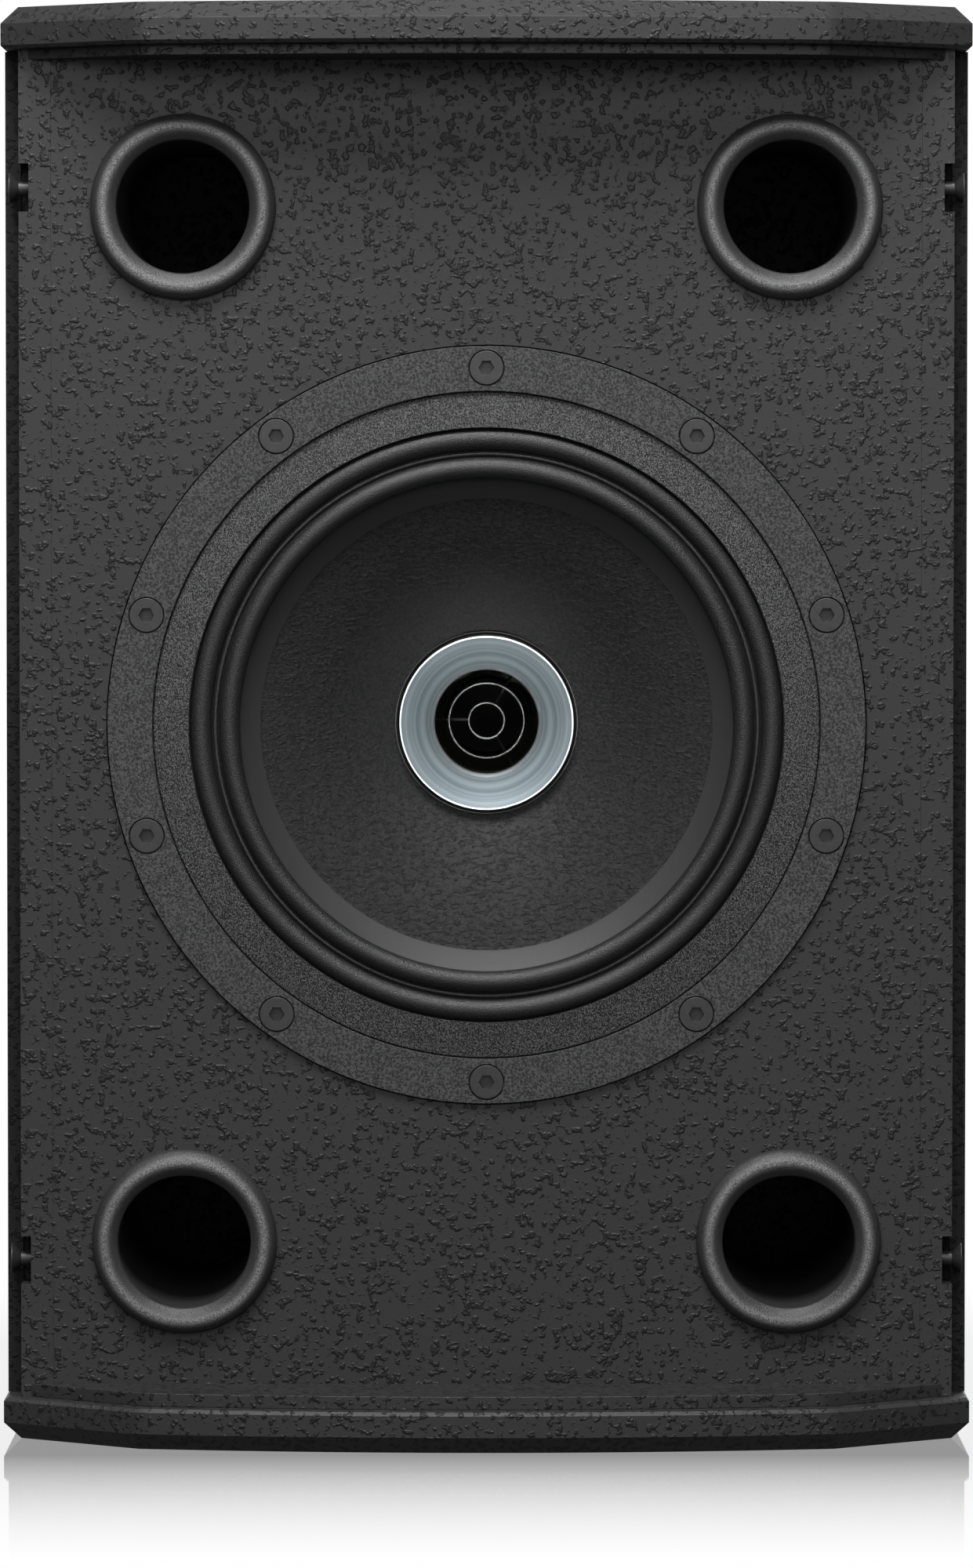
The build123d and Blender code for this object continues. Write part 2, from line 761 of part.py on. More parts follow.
# Cone: pressed paper with a steeper outer band and a curved flare down to the neck.
cone_rim_radius = inner_roll_inner + surround_thick
cone_rim_front = flange_front_depth + bond_gap
band_radius = cone_rim_radius - cone_band_width
band_depth = cone_rim_front + cone_band_drop
neck_radius = coil_radius + former_wall
cone_middle_radius = (band_radius + neck_radius) / 2
cone_middle_depth = (band_depth + neck_depth) / 2 - cone_sag
with BuildPart() as cone:
    with BuildSketch(driver_section):
        with BuildLine():
            Line((cone_rim_radius, cone_rim_front), (band_radius, band_depth))
            ThreePointArc(
                (band_radius, band_depth),
                (cone_middle_radius, cone_middle_depth),
                (neck_radius, neck_depth),
            )
            Polyline(
                (neck_radius, neck_depth),
                (neck_radius, neck_depth + neck_length),
                (neck_radius + cone_thick, neck_depth + neck_length),
                (neck_radius + cone_thick, neck_depth + cone_thick / 2),
            )
            ThreePointArc(
                (neck_radius + cone_thick, neck_depth + cone_thick / 2),
                (cone_middle_radius, cone_middle_depth + cone_thick),
                (band_radius, band_depth + cone_thick),
            )
            Polyline(
                (band_radius, band_depth + cone_thick),
                (cone_rim_radius, cone_rim_front + cone_thick),
                (cone_rim_radius, cone_rim_front),
            )
        make_face()
    revolve(axis=driver_axis)
cone.part.label = "cone"
export_step(cone.part, "parts/cone.step")

# Voice coil former: thin tube glued into the cone's neck.
with BuildPart() as voice_coil_former:
    with BuildSketch(driver_face.offset(-former_front_depth)):
        Circle(coil_radius + former_wall)
        Circle(coil_radius, mode=Mode.SUBTRACT)
    extrude(amount=-former_length)
voice_coil_former.part.label = "voice_coil_former"
export_step(voice_coil_former.part, "parts/voice_coil_former.step")

# Voice coil winding, centred on the front plate's gap.
winding_outer = coil_radius + former_wall + winding_thick
gap_middle_depth = frame_back_depth + front_plate_thick / 2
with BuildPart() as voice_coil_winding:
    with BuildSketch(driver_face.offset(winding_length / 2 - gap_middle_depth)):
        Circle(winding_outer)
        Circle(coil_radius + former_wall, mode=Mode.SUBTRACT)
    extrude(amount=-winding_length)
voice_coil_winding.part.label = "voice_coil_winding"
export_step(voice_coil_winding.part, "parts/voice_coil_winding.step")

# Spider: corrugated cloth disc between the chassis ledge and the former.
spider_inner = coil_radius + former_wall + bond_gap
spider_outer = ledge_outer - bond_gap
wave_start = spider_inner + (ledge_inner - spider_inner - spider_waves * spider_wave) / 2
wave_end = wave_start + spider_waves * spider_wave
with BuildPart() as spider:
    with BuildSketch(driver_section):
        with BuildLine():
            for face_depth in (spider_depth - spider_thick, spider_depth):
                for wave in range(spider_waves):
                    wave_radius = wave_start + wave * spider_wave
                    lift = spider_wave_height if wave % 2 else -spider_wave_height
                    ThreePointArc(
                        (wave_radius, face_depth),
                        (wave_radius + spider_wave / 2, face_depth + lift),
                        (wave_radius + spider_wave, face_depth),
                    )
            Polyline(
                (wave_end, spider_depth - spider_thick),
                (spider_outer, spider_depth - spider_thick),
                (spider_outer, spider_depth),
                (wave_end, spider_depth),
            )
            Polyline(
                (wave_start, spider_depth - spider_thick),
                (spider_inner, spider_depth - spider_thick),
                (spider_inner, spider_depth),
                (wave_start, spider_depth),
            )
        make_face()
    revolve(axis=driver_axis)
spider.part.label = "spider"
export_step(spider.part, "parts/spider.step")

# Front plate of the magnet system, bolted under the chassis.
with BuildPart() as front_plate:
    with BuildSketch(driver_face.offset(-frame_back_depth)):
        Circle(front_plate_radius)
        Circle(winding_outer + coil_clearance, mode=Mode.SUBTRACT)
    extrude(amount=-front_plate_thick)
front_plate.part.label = "front_plate"
export_step(front_plate.part, "parts/front_plate.step")

# Ferrite ring magnet.
magnet_front_depth = frame_back_depth + front_plate_thick
with BuildPart() as ferrite_magnet:
    with BuildSketch(driver_face.offset(-magnet_front_depth)):
        Circle(magnet_radius)
        Circle(magnet_bore_radius, mode=Mode.SUBTRACT)
    extrude(amount=-magnet_thick)
    chamfer(ferrite_magnet.edges().filter_by(GeomType.CIRCLE), magnet_chamfer)
ferrite_magnet.part.label = "ferrite_magnet"
export_step(ferrite_magnet.part, "parts/ferrite_magnet.step")

# Back plate with the pole: its bore is the throat of the high-frequency horn.
back_front_depth = magnet_front_depth + magnet_thick
back_rear_depth = back_front_depth + back_plate_thick
pole_radius = coil_radius - pole_clearance
throat_turn_depth = pole_front_depth + throat_straight
with BuildPart() as back_plate:
    with BuildSketch(driver_section):
        with BuildLine():
            Polyline(
                (throat_radius, pole_front_depth),
                (pole_radius, pole_front_depth),
                (pole_radius, back_front_depth),
                (back_plate_radius, back_front_depth),
                (back_plate_radius, back_rear_depth),
                (horn_entry_radius, back_rear_depth),
                (throat_radius, throat_turn_depth),
                close=True,
            )
        make_face()
    revolve(axis=driver_axis)
back_plate.part.label = "back_plate"
export_step(back_plate.part, "parts/back_plate.step")

# Waveguide: turned flare seated on the pole, standing inside the voice coil.
mouth_radius = coil_radius - waveguide_clearance
guide_body_radius = mouth_radius - waveguide_body_inset
guide_middle_radius = throat_radius + (mouth_radius - throat_radius) * 0.33
guide_middle_depth = waveguide_mouth_depth + (pole_front_depth - waveguide_mouth_depth) * 0.31
with BuildPart() as waveguide:
    with BuildSketch(driver_section):
        with BuildLine():
            Line(
                (mouth_radius, waveguide_mouth_depth),
                (mouth_radius - waveguide_rim, waveguide_mouth_depth),
            )
            ThreePointArc(
                (mouth_radius - waveguide_rim, waveguide_mouth_depth),
                (guide_middle_radius, guide_middle_depth),
                (throat_radius, pole_front_depth),
            )
            Polyline(
                (throat_radius, pole_front_depth),
                (guide_body_radius, pole_front_depth),
                (guide_body_radius, waveguide_mouth_depth + waveguide_body_inset + waveguide_rim),
                (mouth_radius, waveguide_mouth_depth + waveguide_rim),
                (mouth_radius, waveguide_mouth_depth),
            )
        make_face()
    revolve(axis=driver_axis)
waveguide.part.label = "waveguide"
export_step(waveguide.part, "parts/waveguide.step")

# Phase rings: two thin concentric rings in the throat on three radial ribs.
phase_back_depth = phase_ring_front_depth + phase_ring_length
with BuildPart() as phase_rings:
    with BuildSketch(driver_face.offset(-phase_back_depth)):
        for ring_radius in phase_ring_radii:
            Circle(ring_radius)
            Circle(ring_radius - phase_ring_wall, mode=Mode.SUBTRACT)
    extrude(amount=phase_ring_length)
    with BuildSketch(driver_face.offset(-phase_back_depth)):
        with PolarLocations(0, 3, start_angle=60):
            Rectangle(throat_radius, phase_rib_thick, align=(Align.MIN, Align.CENTER))
        Circle(throat_radius, mode=Mode.INTERSECT)
        Circle(min(phase_ring_radii) - phase_ring_wall / 2, mode=Mode.SUBTRACT)
    extrude(amount=phase_rib_length)
phase_rings.part.label = "phase_rings"
export_step(phase_rings.part, "parts/phase_rings.step")

# High-frequency yoke: plate and tubular pole behind the back plate.
hf_plate_back = back_rear_depth + hf_plate_thick
hf_gap_front = hf_plate_back + hf_magnet_thick
hf_gap_back = hf_gap_front + hf_gap_plate_thick
with BuildPart() as hf_yoke:
    with BuildSketch(driver_section):
        with BuildLine():
            Polyline(
                (horn_entry_radius, back_rear_depth),
                (hf_plate_radius, back_rear_depth),
                (hf_plate_radius, hf_plate_back),
                (hf_pole_radius, hf_plate_back),
                (hf_pole_radius, hf_gap_back),
                (hf_plug_radius, hf_gap_back),
                (hf_plug_radius, hf_plate_back),
                (horn_entry_radius, hf_plate_back),
                close=True,
            )
        make_face()
    revolve(axis=driver_axis)
hf_yoke.part.label = "hf_yoke"
export_step(hf_yoke.part, "parts/hf_yoke.step")

# High-frequency ring magnet.
with BuildPart() as hf_magnet:
    with BuildSketch(driver_face.offset(-hf_plate_back)):
        Circle(hf_magnet_radius)
        Circle(hf_magnet_bore_radius, mode=Mode.SUBTRACT)
    extrude(amount=-hf_magnet_thick)
hf_magnet.part.label = "hf_magnet"
export_step(hf_magnet.part, "parts/hf_magnet.step")

# High-frequency gap plate.
with BuildPart() as hf_gap_plate:
    with BuildSketch(driver_face.offset(-hf_gap_front)):
        Circle(hf_plate_radius)
        Circle(hf_pole_radius + hf_gap, mode=Mode.SUBTRACT)
    extrude(amount=-hf_gap_plate_thick)
hf_gap_plate.part.label = "hf_gap_plate"
export_step(hf_gap_plate.part, "parts/hf_gap_plate.step")

# Domed diaphragm: spherical cap over the pole, rising towards the rear.
hf_dome_radius = hf_pole_radius + (hf_gap + hf_coil_thick) / 2
hf_dome_front = hf_gap_back + hf_suspension_thick + bond_gap


def cap_arc(edge_radius, edge_depth, rise):
    """Half section of a spherical cap, from its edge to its crown on the axis."""
    sphere_radius = (edge_radius**2 + rise**2) / (2 * rise)
    half_angle = asin(edge_radius / sphere_radius) / 2
    crown_depth = edge_depth + rise
    return ThreePointArc(
        (edge_radius, edge_depth),
        (sphere_radius * sin(half_angle), crown_depth - sphere_radius * (1 - cos(half_angle))),
        (0, crown_depth),
    )


with BuildPart() as hf_diaphragm:
    with BuildSketch(driver_section):
        with BuildLine():
            for face_depth in (hf_dome_front, hf_dome_front + hf_dome_thick):
                cap_arc(hf_dome_radius, face_depth, hf_dome_rise)
            Line(
                (0, hf_dome_front + hf_dome_rise),
                (0, hf_dome_front + hf_dome_rise + hf_dome_thick),
            )
            Line(
                (hf_dome_radius, hf_dome_front + hf_dome_thick),
                (hf_dome_radius, hf_dome_front),
            )
        make_face()
    revolve(axis=driver_axis)
hf_diaphragm.part.label = "hf_diaphragm"
export_step(hf_diaphragm.part, "parts/hf_diaphragm.step")

# High-frequency voice coil, glued under the dome's edge.
hf_coil_inner = hf_dome_radius - hf_coil_thick
with BuildPart() as hf_voice_coil:
    with BuildSketch(driver_face.offset(-hf_dome_front)):
        Circle(hf_dome_radius)
        Circle(hf_coil_inner, mode=Mode.SUBTRACT)
    extrude(amount=hf_coil_length)
hf_voice_coil.part.label = "hf_voice_coil"
export_step(hf_voice_coil.part, "parts/hf_voice_coil.step")

# Flat annular suspension clamped between the gap plate and the rear cover.
with BuildPart() as hf_suspension:
    with BuildSketch(driver_face.offset(-hf_gap_back)):
        Circle(hf_suspension_radius)
        Circle(hf_dome_radius + bond_gap, mode=Mode.SUBTRACT)
    extrude(amount=-hf_suspension_thick)
hf_suspension.part.label = "hf_suspension"
export_step(hf_suspension.part, "parts/hf_suspension.step")

# Rear cover: a turned cup that closes the chamber behind the dome.
with BuildPart() as hf_rear_cover:
    with BuildSketch(driver_section):
        with BuildLine():
            Polyline(
                (0, hf_gap_back + hf_cover_depth),
                (hf_plate_radius, hf_gap_back + hf_cover_depth),
                (hf_plate_radius, hf_gap_back),
                (hf_suspension_radius, hf_gap_back),
                (hf_suspension_radius, hf_gap_back + hf_suspension_thick),
                (hf_suspension_radius - hf_cover_wall, hf_gap_back + hf_suspension_thick),
                (hf_suspension_radius - hf_cover_wall, hf_gap_back + hf_cover_depth - hf_cover_wall),
                (0, hf_gap_back + hf_cover_depth - hf_cover_wall),
                close=True,
            )
        make_face()
    revolve(axis=driver_axis)
    chamfer(hf_rear_cover.faces().sort_by(Axis.Y)[-1].edges(), hf_cover_wall / 2)
hf_rear_cover.part.label = "hf_rear_cover"
export_step(hf_rear_cover.part, "parts/hf_rear_cover.step")

# Phase plug: fills the pole under the dome, pierced by two ring slots on four ribs.
plug_front = hf_plate_back
plug_edge_depth = hf_gap_back - hf_plug_clearance
with BuildPart() as hf_phase_plug:
    with BuildSketch(driver_section):
        with BuildLine():
            Polyline(
                (0, plug_edge_depth + hf_dome_rise / 2),
                (0, plug_front),
                (hf_plug_radius, plug_front),
                (hf_plug_radius, plug_edge_depth),
            )
            cap_arc(hf_plug_radius, plug_edge_depth, hf_dome_rise / 2)
        make_face()
    revolve(axis=driver_axis)
    with BuildSketch(driver_face.offset(-plug_front)):
        for slot_share in (0.42, 0.78):
            Circle(hf_plug_radius * slot_share + hf_slot_width)
            Circle(hf_plug_radius * slot_share, mode=Mode.SUBTRACT)
        with PolarLocations(0, 4, start_angle=45):
            Rectangle(
                hf_plug_radius,
                2 * hf_slot_width,
                align=(Align.MIN, Align.CENTER),
                mode=Mode.SUBTRACT,
            )
    extrude(amount=-(hf_gap_back + hf_dome_rise - plug_front), mode=Mode.SUBTRACT)
hf_phase_plug.part.label = "hf_phase_plug"
export_step(hf_phase_plug.part, "parts/hf_phase_plug.step")

# Terminal block with two solder tabs on the chassis, at the top of the motor.
with BuildPart(Plane(origin=(0, ring_face_y + frame_back_depth, middle_z))) as driver_terminals:
    with Locations((0, 0, frame_base_radius)):
        Box(
            terminal_width,
            terminal_depth,
            terminal_block_thick,
            align=(Align.CENTER, Align.MAX, Align.MIN),
        )
    for side in (-1, 1):
        with Locations((side * terminal_width / 4, 0, frame_base_radius + terminal_block_thick / 2)):
            Box(tab_width, tab_length, tab_thick, align=(Align.CENTER, Align.MIN, Align.CENTER))
driver_terminals.part.label = "driver_terminals"
export_step(driver_terminals.part, "parts/driver_terminals.step")


# ============================== crossover network ===================================

board_back_y = rear_inner - standoff_length
board_front_y = board_back_y - board_thick
board_plane = Plane(origin=(0, board_front_y, board_middle_z), x_dir=(1, 0, 0), z_dir=(0, -1, 0))
standoff_x = board_width - 2 * standoff_inset
standoff_z = board_height - 2 * standoff_inset

with BuildPart() as crossover_board:
    with BuildSketch(board_plane):
        Rectangle(board_width, board_height)
        with GridLocations(standoff_x, standoff_z, 2, 2):
            Circle(board_screw_radius, mode=Mode.SUBTRACT)
    extrude(amount=-board_thick)
crossover_board.part.label = "crossover_board"
export_step(crossover_board.part, "parts/crossover_board.step")

with BuildPart() as board_standoffs:
    with BuildSketch(board_plane.offset(-board_thick)):
        with GridLocations(standoff_x, standoff_z, 2, 2):
            Circle(standoff_radius)
            Circle(board_screw_radius, mode=Mode.SUBTRACT)
    extrude(amount=-standoff_length)
board_standoffs.part.label = "board_standoffs"
export_step(board_standoffs.part, "parts/board_standoffs.step")

with BuildPart(board_plane) as board_screws:
    with GridLocations(standoff_x, standoff_z, 2, 2):
        Cylinder(
            board_screw_head_radius,
            board_screw_head,
            align=(Align.CENTER, Align.CENTER, Align.MIN),
        )
        Cylinder(
            board_screw_radius,
            board_screw_length,
            align=(Align.CENTER, Align.CENTER, Align.MAX),
        )
board_screws.part.label = "board_screws"
export_step(board_screws.part, "parts/board_screws.step")

# Two coils wound on open bobbins, standing on the board.
coils = (
    (-0.3 * board_width, large_coil_radius, large_coil_bore, large_coil_height),
    (-0.02 * board_width, small_coil_radius, small_coil_bore, small_coil_height),
)
with BuildPart(board_plane) as crossover_inductors:
    for coil_x, coil_outer, coil_inner, coil_height in coils:
        with BuildSketch(board_plane):
            with Locations((coil_x, board_height / 5)):
                Circle(coil_outer)
                Circle(coil_inner, mode=Mode.SUBTRACT)
        extrude(amount=coil_height)
crossover_inductors.part.label = "crossover_inductors"
export_step(crossover_inductors.part, "parts/crossover_inductors.step")

# Two film capacitors lying down and one electrolytic standing up.
with BuildPart(board_plane) as crossover_capacitors:
    for row in (0, 1):
        with Locations((board_width * 0.28, board_height / 4 - row * 2.3 * film_radius, film_radius)):
            Cylinder(film_radius, film_length, rotation=(0, 90, 0))
    with Locations((board_width * 0.3, -board_height / 4)):
        Cylinder(can_radius, can_height, align=(Align.CENTER, Align.CENTER, Align.MIN))
crossover_capacitors.part.label = "crossover_capacitors"
export_step(crossover_capacitors.part, "parts/crossover_capacitors.step")

# Two wire-wound resistors in square cement bodies.
with BuildPart(board_plane) as crossover_resistors:
    with Locations((-board_width / 4, -board_height / 4)):
        with GridLocations(1, 1.6 * resistor_size, 1, 2):
            Box(
                resistor_length,
                resistor_size,
                resistor_size,
                align=(Align.CENTER, Align.CENTER, Align.MIN),
            )
crossover_resistors.part.label = "crossover_resistors"
export_step(crossover_resistors.part, "parts/crossover_resistors.step")


# ================================ input dish =========================================

# Input dish: pressed steel tray let into the rear panel. Its flange lies on the panel.
dish_plane = Plane(origin=(0, rear_face, dish_middle_z), x_dir=(-1, 0, 0), z_dir=(0, 1, 0))
dish_inner_width = dish_width - 2 * dish_flange - 2 * port_fit
dish_inner_height = dish_height - 2 * dish_flange - 2 * port_fit
dish_floor_y = rear_face - dish_depth + dish_sheet
floor_plane = Plane(origin=(0, dish_floor_y, dish_middle_z), x_dir=(-1, 0, 0), z_dir=(0, 1, 0))
screw_pitch_x = dish_width - dish_flange
screw_pitch_z = dish_height - dish_flange
with BuildPart() as input_dish:
    with BuildSketch(dish_plane):
        RectangleRounded(dish_width, dish_height, dish_corner)
    extrude(amount=dish_sheet)
    with BuildSketch(dish_plane):
        RectangleRounded(dish_inner_width, dish_inner_height, dish_corner - port_fit)
    extrude(amount=-dish_depth)
    with BuildSketch(dish_plane.offset(dish_sheet)):
        RectangleRounded(
            dish_inner_width - 2 * dish_sheet,
            dish_inner_height - 2 * dish_sheet,
            dish_corner - port_fit - dish_sheet,
        )
    extrude(amount=-dish_depth, mode=Mode.SUBTRACT)
    with BuildSketch(dish_plane.offset(dish_sheet)):
        with GridLocations(screw_pitch_x, screw_pitch_z, 2, 2):
            Circle(dish_screw_radius)
        with GridLocations(connector_spacing, 0, 2, 1):
            Circle(connector_body_radius + port_fit)
            with GridLocations(connector_screw_spacing_x, connector_screw_spacing_z, 2, 2):
                Circle(connector_screw_radius)
    extrude(amount=-dish_depth - 2 * dish_sheet, mode=Mode.SUBTRACT)
input_dish.part.label = "input_dish"
export_step(input_dish.part, "parts/input_dish.step")

with BuildPart(dish_plane.offset(dish_sheet)) as input_dish_screws:
    with GridLocations(screw_pitch_x, screw_pitch_z, 2, 2):
        Cylinder(
            dish_screw_head_radius,
            dish_screw_head,
            align=(Align.CENTER, Align.CENTER, Align.MIN),
        )
        Cylinder(
            dish_screw_radius,
            dish_screw_length,
            align=(Align.CENTER, Align.CENTER, Align.MAX),
        )
input_dish_screws.part.label = "input_dish_screws"
export_step(input_dish_screws.part, "parts/input_dish_screws.step")

# Four-pole locking loudspeaker sockets: square flange, round body, ring-shaped socket
# round a central hub, and four solder tabs behind.
for connector_name, side in (("left_input_connector", 1), ("right_input_connector", -1)):
    with BuildPart() as connector:
        with BuildSketch(floor_plane):
            with Locations((side * connector_spacing / 2, 0)):
                RectangleRounded(connector_flange_width, connector_flange_height, connector_flange_corner)
                with GridLocations(connector_screw_spacing_x, connector_screw_spacing_z, 2, 2):
                    Circle(connector_screw_radius, mode=Mode.SUBTRACT)
        extrude(amount=connector_flange_thick)
        with BuildSketch(floor_plane):
            with Locations((side * connector_spacing / 2, 0)):
                Circle(connector_body_radius)
        extrude(amount=connector_flange_thick - connector_body_length)
        with BuildSketch(floor_plane.offset(connector_flange_thick)):
            with Locations((side * connector_spacing / 2, 0)):
                Circle(connector_bore_radius)
        extrude(amount=-connector_bore_depth, mode=Mode.SUBTRACT)
        with BuildSketch(floor_plane.offset(connector_flange_thick - connector_bore_depth)):
            with Locations((side * connector_spacing / 2, 0)):
                Circle(connector_hub_radius)
        extrude(amount=connector_bore_depth - connector_flange_thick / 2)
        with BuildSketch(floor_plane.offset(connector_flange_thick - connector_body_length)):
            with Locations((side * connector_spacing / 2, 0)):
                with PolarLocations(connector_hub_radius, 4, start_angle=45):
                    Rectangle(tab_thick, connector_tab_width)
        extrude(amount=-connector_tab_length)
    connector.part.label = connector_name
    export_step(connector.part, "parts/" + connector_name + ".step")

with BuildPart(floor_plane.offset(connector_flange_thick)) as connector_screws:
    with GridLocations(connector_spacing, 0, 2, 1):
        for corner in (-1, 1):
            with Locations(
                (corner * connector_screw_spacing_x / 2, corner * connector_screw_spacing_z / 2)
            ):
                Cylinder(
                    connector_screw_head_radius,
                    connector_screw_head,
                    align=(Align.CENTER, Align.CENTER, Align.MIN),
                )
                Cylinder(
                    connector_screw_radius,
                    connector_screw_length,
                    align=(Align.CENTER, Align.CENTER, Align.MAX),
                )
connector_screws.part.label = "connector_screws"
export_step(connector_screws.part, "parts/connector_screws.step")


# ================================== wiring ===========================================

# Two-core cables laid between the sockets, the board and the driver. Each one leaves
# its seat square to the face, and its bends are as large as their two runs allow.
connector_back_y = dish_floor_y + connector_flange_thick - connector_body_length
connector_x = connector_spacing / 2
wire_seat = connector_body_radius * 0.72
board_low_z = board_middle_z - board_height / 2
board_high_z = board_middle_z + board_height / 2
terminal_y = ring_face_y + frame_back_depth - terminal_depth / 2
terminal_top_z = middle_z + frame_base_radius + terminal_block_thick
wire_routes = (
    (
        (-connector_x, connector_back_y, dish_middle_z + wire_seat),
        (-connector_x, connector_back_y - 1.9 * wire_step, dish_middle_z + wire_seat),
        (
            -connector_x + 0.2 * wire_step,
            connector_back_y - 2.8 * wire_step,
            dish_middle_z + wire_seat + 2.3 * wire_step,
        ),
        (
            -connector_x + 0.4 * wire_step,
            connector_back_y - 2.6 * wire_step,
            board_low_z - 2.8 * wire_step,
        ),
        (
            -connector_x + 0.6 * wire_step,
            board_front_y - 2.2 * wire_step,
            board_low_z + 0.6 * wire_step,
        ),
        (-connector_x + 0.6 * wire_step, board_front_y, board_low_z + 0.6 * wire_step),
    ),
    (
        (connector_x - 0.4 * wire_step, board_front_y, board_high_z - 0.7 * wire_step),
        (
            connector_x - 0.4 * wire_step,
            board_front_y - 2.1 * wire_step,
            board_high_z - 0.7 * wire_step,
        ),
        (
            connector_x - 0.8 * wire_step,
            board_front_y - 4.9 * wire_step,
            board_high_z + 0.6 * wire_step,
        ),
        (
            connector_x - 1.4 * wire_step,
            board_front_y - 8.9 * wire_step,
            board_high_z + wire_step,
        ),
        (
            connector_x - 2.2 * wire_step,
            (board_front_y + terminal_y) / 2 - 5.5 * wire_step,
            board_high_z + 0.8 * wire_step,
        ),
        (0, terminal_y, terminal_top_z + 2 * wire_step),
        (0, terminal_y, terminal_top_z),
    ),
    (
        (-connector_x, connector_back_y, dish_middle_z - wire_seat),
        (-connector_x, connector_back_y - 1.7 * wire_step, dish_middle_z - wire_seat),
        (0, connector_back_y - 2.7 * wire_step, dish_middle_z - wire_seat - 0.4 * wire_step),
        (connector_x, connector_back_y - 1.7 * wire_step, dish_middle_z - wire_seat),
        (connector_x, connector_back_y, dish_middle_z - wire_seat),
    ),
)


def bend_radii(route):
    """Largest bend at each inner point: 0.45 of the shorter run over tan(half the turn)."""
    radii = []
    for before, corner, after in zip(route, route[1:], route[2:]):
        run_in = Vector(*corner) - Vector(*before)
        run_out = Vector(*after) - Vector(*corner)
        half_turn = radians(run_in.get_angle(run_out) / 2)
        radii.append(0.45 * min(run_in.length, run_out.length) / tan(half_turn))
    return radii


with BuildPart() as internal_wires:
    for route in wire_routes:
        radii = bend_radii(route)
        print("wire bends", [round(radius, 1) for radius in radii])
        with BuildLine() as wire_path:
            FilletPolyline(*route, radius=radii)
        start_run = Vector(*route[1]) - Vector(*route[0])
        with BuildSketch(Plane(origin=route[0], z_dir=start_run)):
            Circle(wire_radius)
        sweep(path=wire_path.wire())
        print("wire length", round(wire_path.wire().length, 1))
internal_wires.part.label = "internal_wires"
export_step(internal_wires.part, "parts/internal_wires.step")


# ================================= rigging ===========================================

# Grille screws: countersunk M4 screws along X, standing in the notches.
grille_head_face = body_half - grille_screw_inset
with BuildPart() as grille_screws:
    for height in grille_fixing_heights:
        with BuildSketch(Plane(origin=(0, grille_fixing_y, height), x_dir=(1, 0, 0), z_dir=(0, -1, 0))):
            with BuildLine():
                Polyline(
                    (grille_head_face, 0),
                    (grille_head_face, grille_screw_head_radius),
                    (grille_head_face - grille_screw_head, grille_screw_shank_radius),
                    (grille_head_face - grille_screw_length, grille_screw_shank_radius),
                    (grille_head_face - grille_screw_length, 0),
                    close=True,
                )
            make_face()
        revolve(axis=Axis((0, grille_fixing_y, height), (1, 0, 0)))
        with BuildSketch(Plane(origin=(grille_head_face, grille_fixing_y, height), z_dir=(1, 0, 0))):
            RegularPolygon(grille_socket_size / 2, 6, major_radius=False)
        extrude(amount=-grille_socket_depth, mode=Mode.SUBTRACT)
    mirror(about=Plane.YZ)
grille_screws.part.label = "grille_screws"
export_step(grille_screws.part, "parts/grille_screws.step")

# Threaded inserts pressed into the side panels behind the grille screws.
notch_floor = body_half - rabbet_width - notch_depth
with BuildPart() as grille_inserts:
    for height in grille_fixing_heights:
        with BuildSketch(Plane(origin=(notch_floor, grille_fixing_y, height), z_dir=(1, 0, 0))):
            Circle(grille_insert_radius)
            Circle(grille_screw_shank_radius, mode=Mode.SUBTRACT)
        extrude(amount=-grille_insert_length)
    mirror(about=Plane.YZ)
grille_inserts.part.label = "grille_inserts"
export_step(grille_inserts.part, "parts/grille_inserts.step")

# M8 yoke inserts through the side panels, flanged inside.
with BuildPart() as side_rigging_inserts:
    with BuildSketch(Plane(origin=(body_half, rigging_y, middle_z), z_dir=(1, 0, 0))):
        Circle(side_insert_radius)
    extrude(amount=-wall_thick)
    with BuildSketch(Plane(origin=(inner_half, rigging_y, middle_z), z_dir=(1, 0, 0))):
        Circle(side_insert_flange_radius)
    extrude(amount=-insert_flange_thick)
    with BuildSketch(Plane(origin=(body_half, rigging_y, middle_z), z_dir=(1, 0, 0))):
        Circle(side_insert_bore)
    extrude(amount=-wall_thick - insert_flange_thick, mode=Mode.SUBTRACT)
    mirror(about=Plane.YZ)
side_rigging_inserts.part.label = "side_rigging_inserts"
export_step(side_rigging_inserts.part, "parts/side_rigging_inserts.step")

# Four M6 inserts through the rear panel for a wall bracket.
bracket_plane = Plane(origin=(0, rear_face, rear_pattern_middle_z), x_dir=(-1, 0, 0), z_dir=(0, 1, 0))
with BuildPart() as rear_bracket_inserts:
    with BuildSketch(bracket_plane):
        with GridLocations(rear_pattern_x, rear_pattern_z, 2, 2):
            Circle(rear_insert_radius)
    extrude(amount=-rear_thick)
    with BuildSketch(bracket_plane.offset(-rear_thick)):
        with GridLocations(rear_pattern_x, rear_pattern_z, 2, 2):
            Circle(rear_insert_flange_radius)
    extrude(amount=-insert_flange_thick)
    with BuildSketch(bracket_plane):
        with GridLocations(rear_pattern_x, rear_pattern_z, 2, 2):
            Circle(rear_insert_bore)
    extrude(amount=-rear_thick - insert_flange_thick, mode=Mode.SUBTRACT)
rear_bracket_inserts.part.label = "rear_bracket_inserts"
export_step(rear_bracket_inserts.part, "parts/rear_bracket_inserts.step")

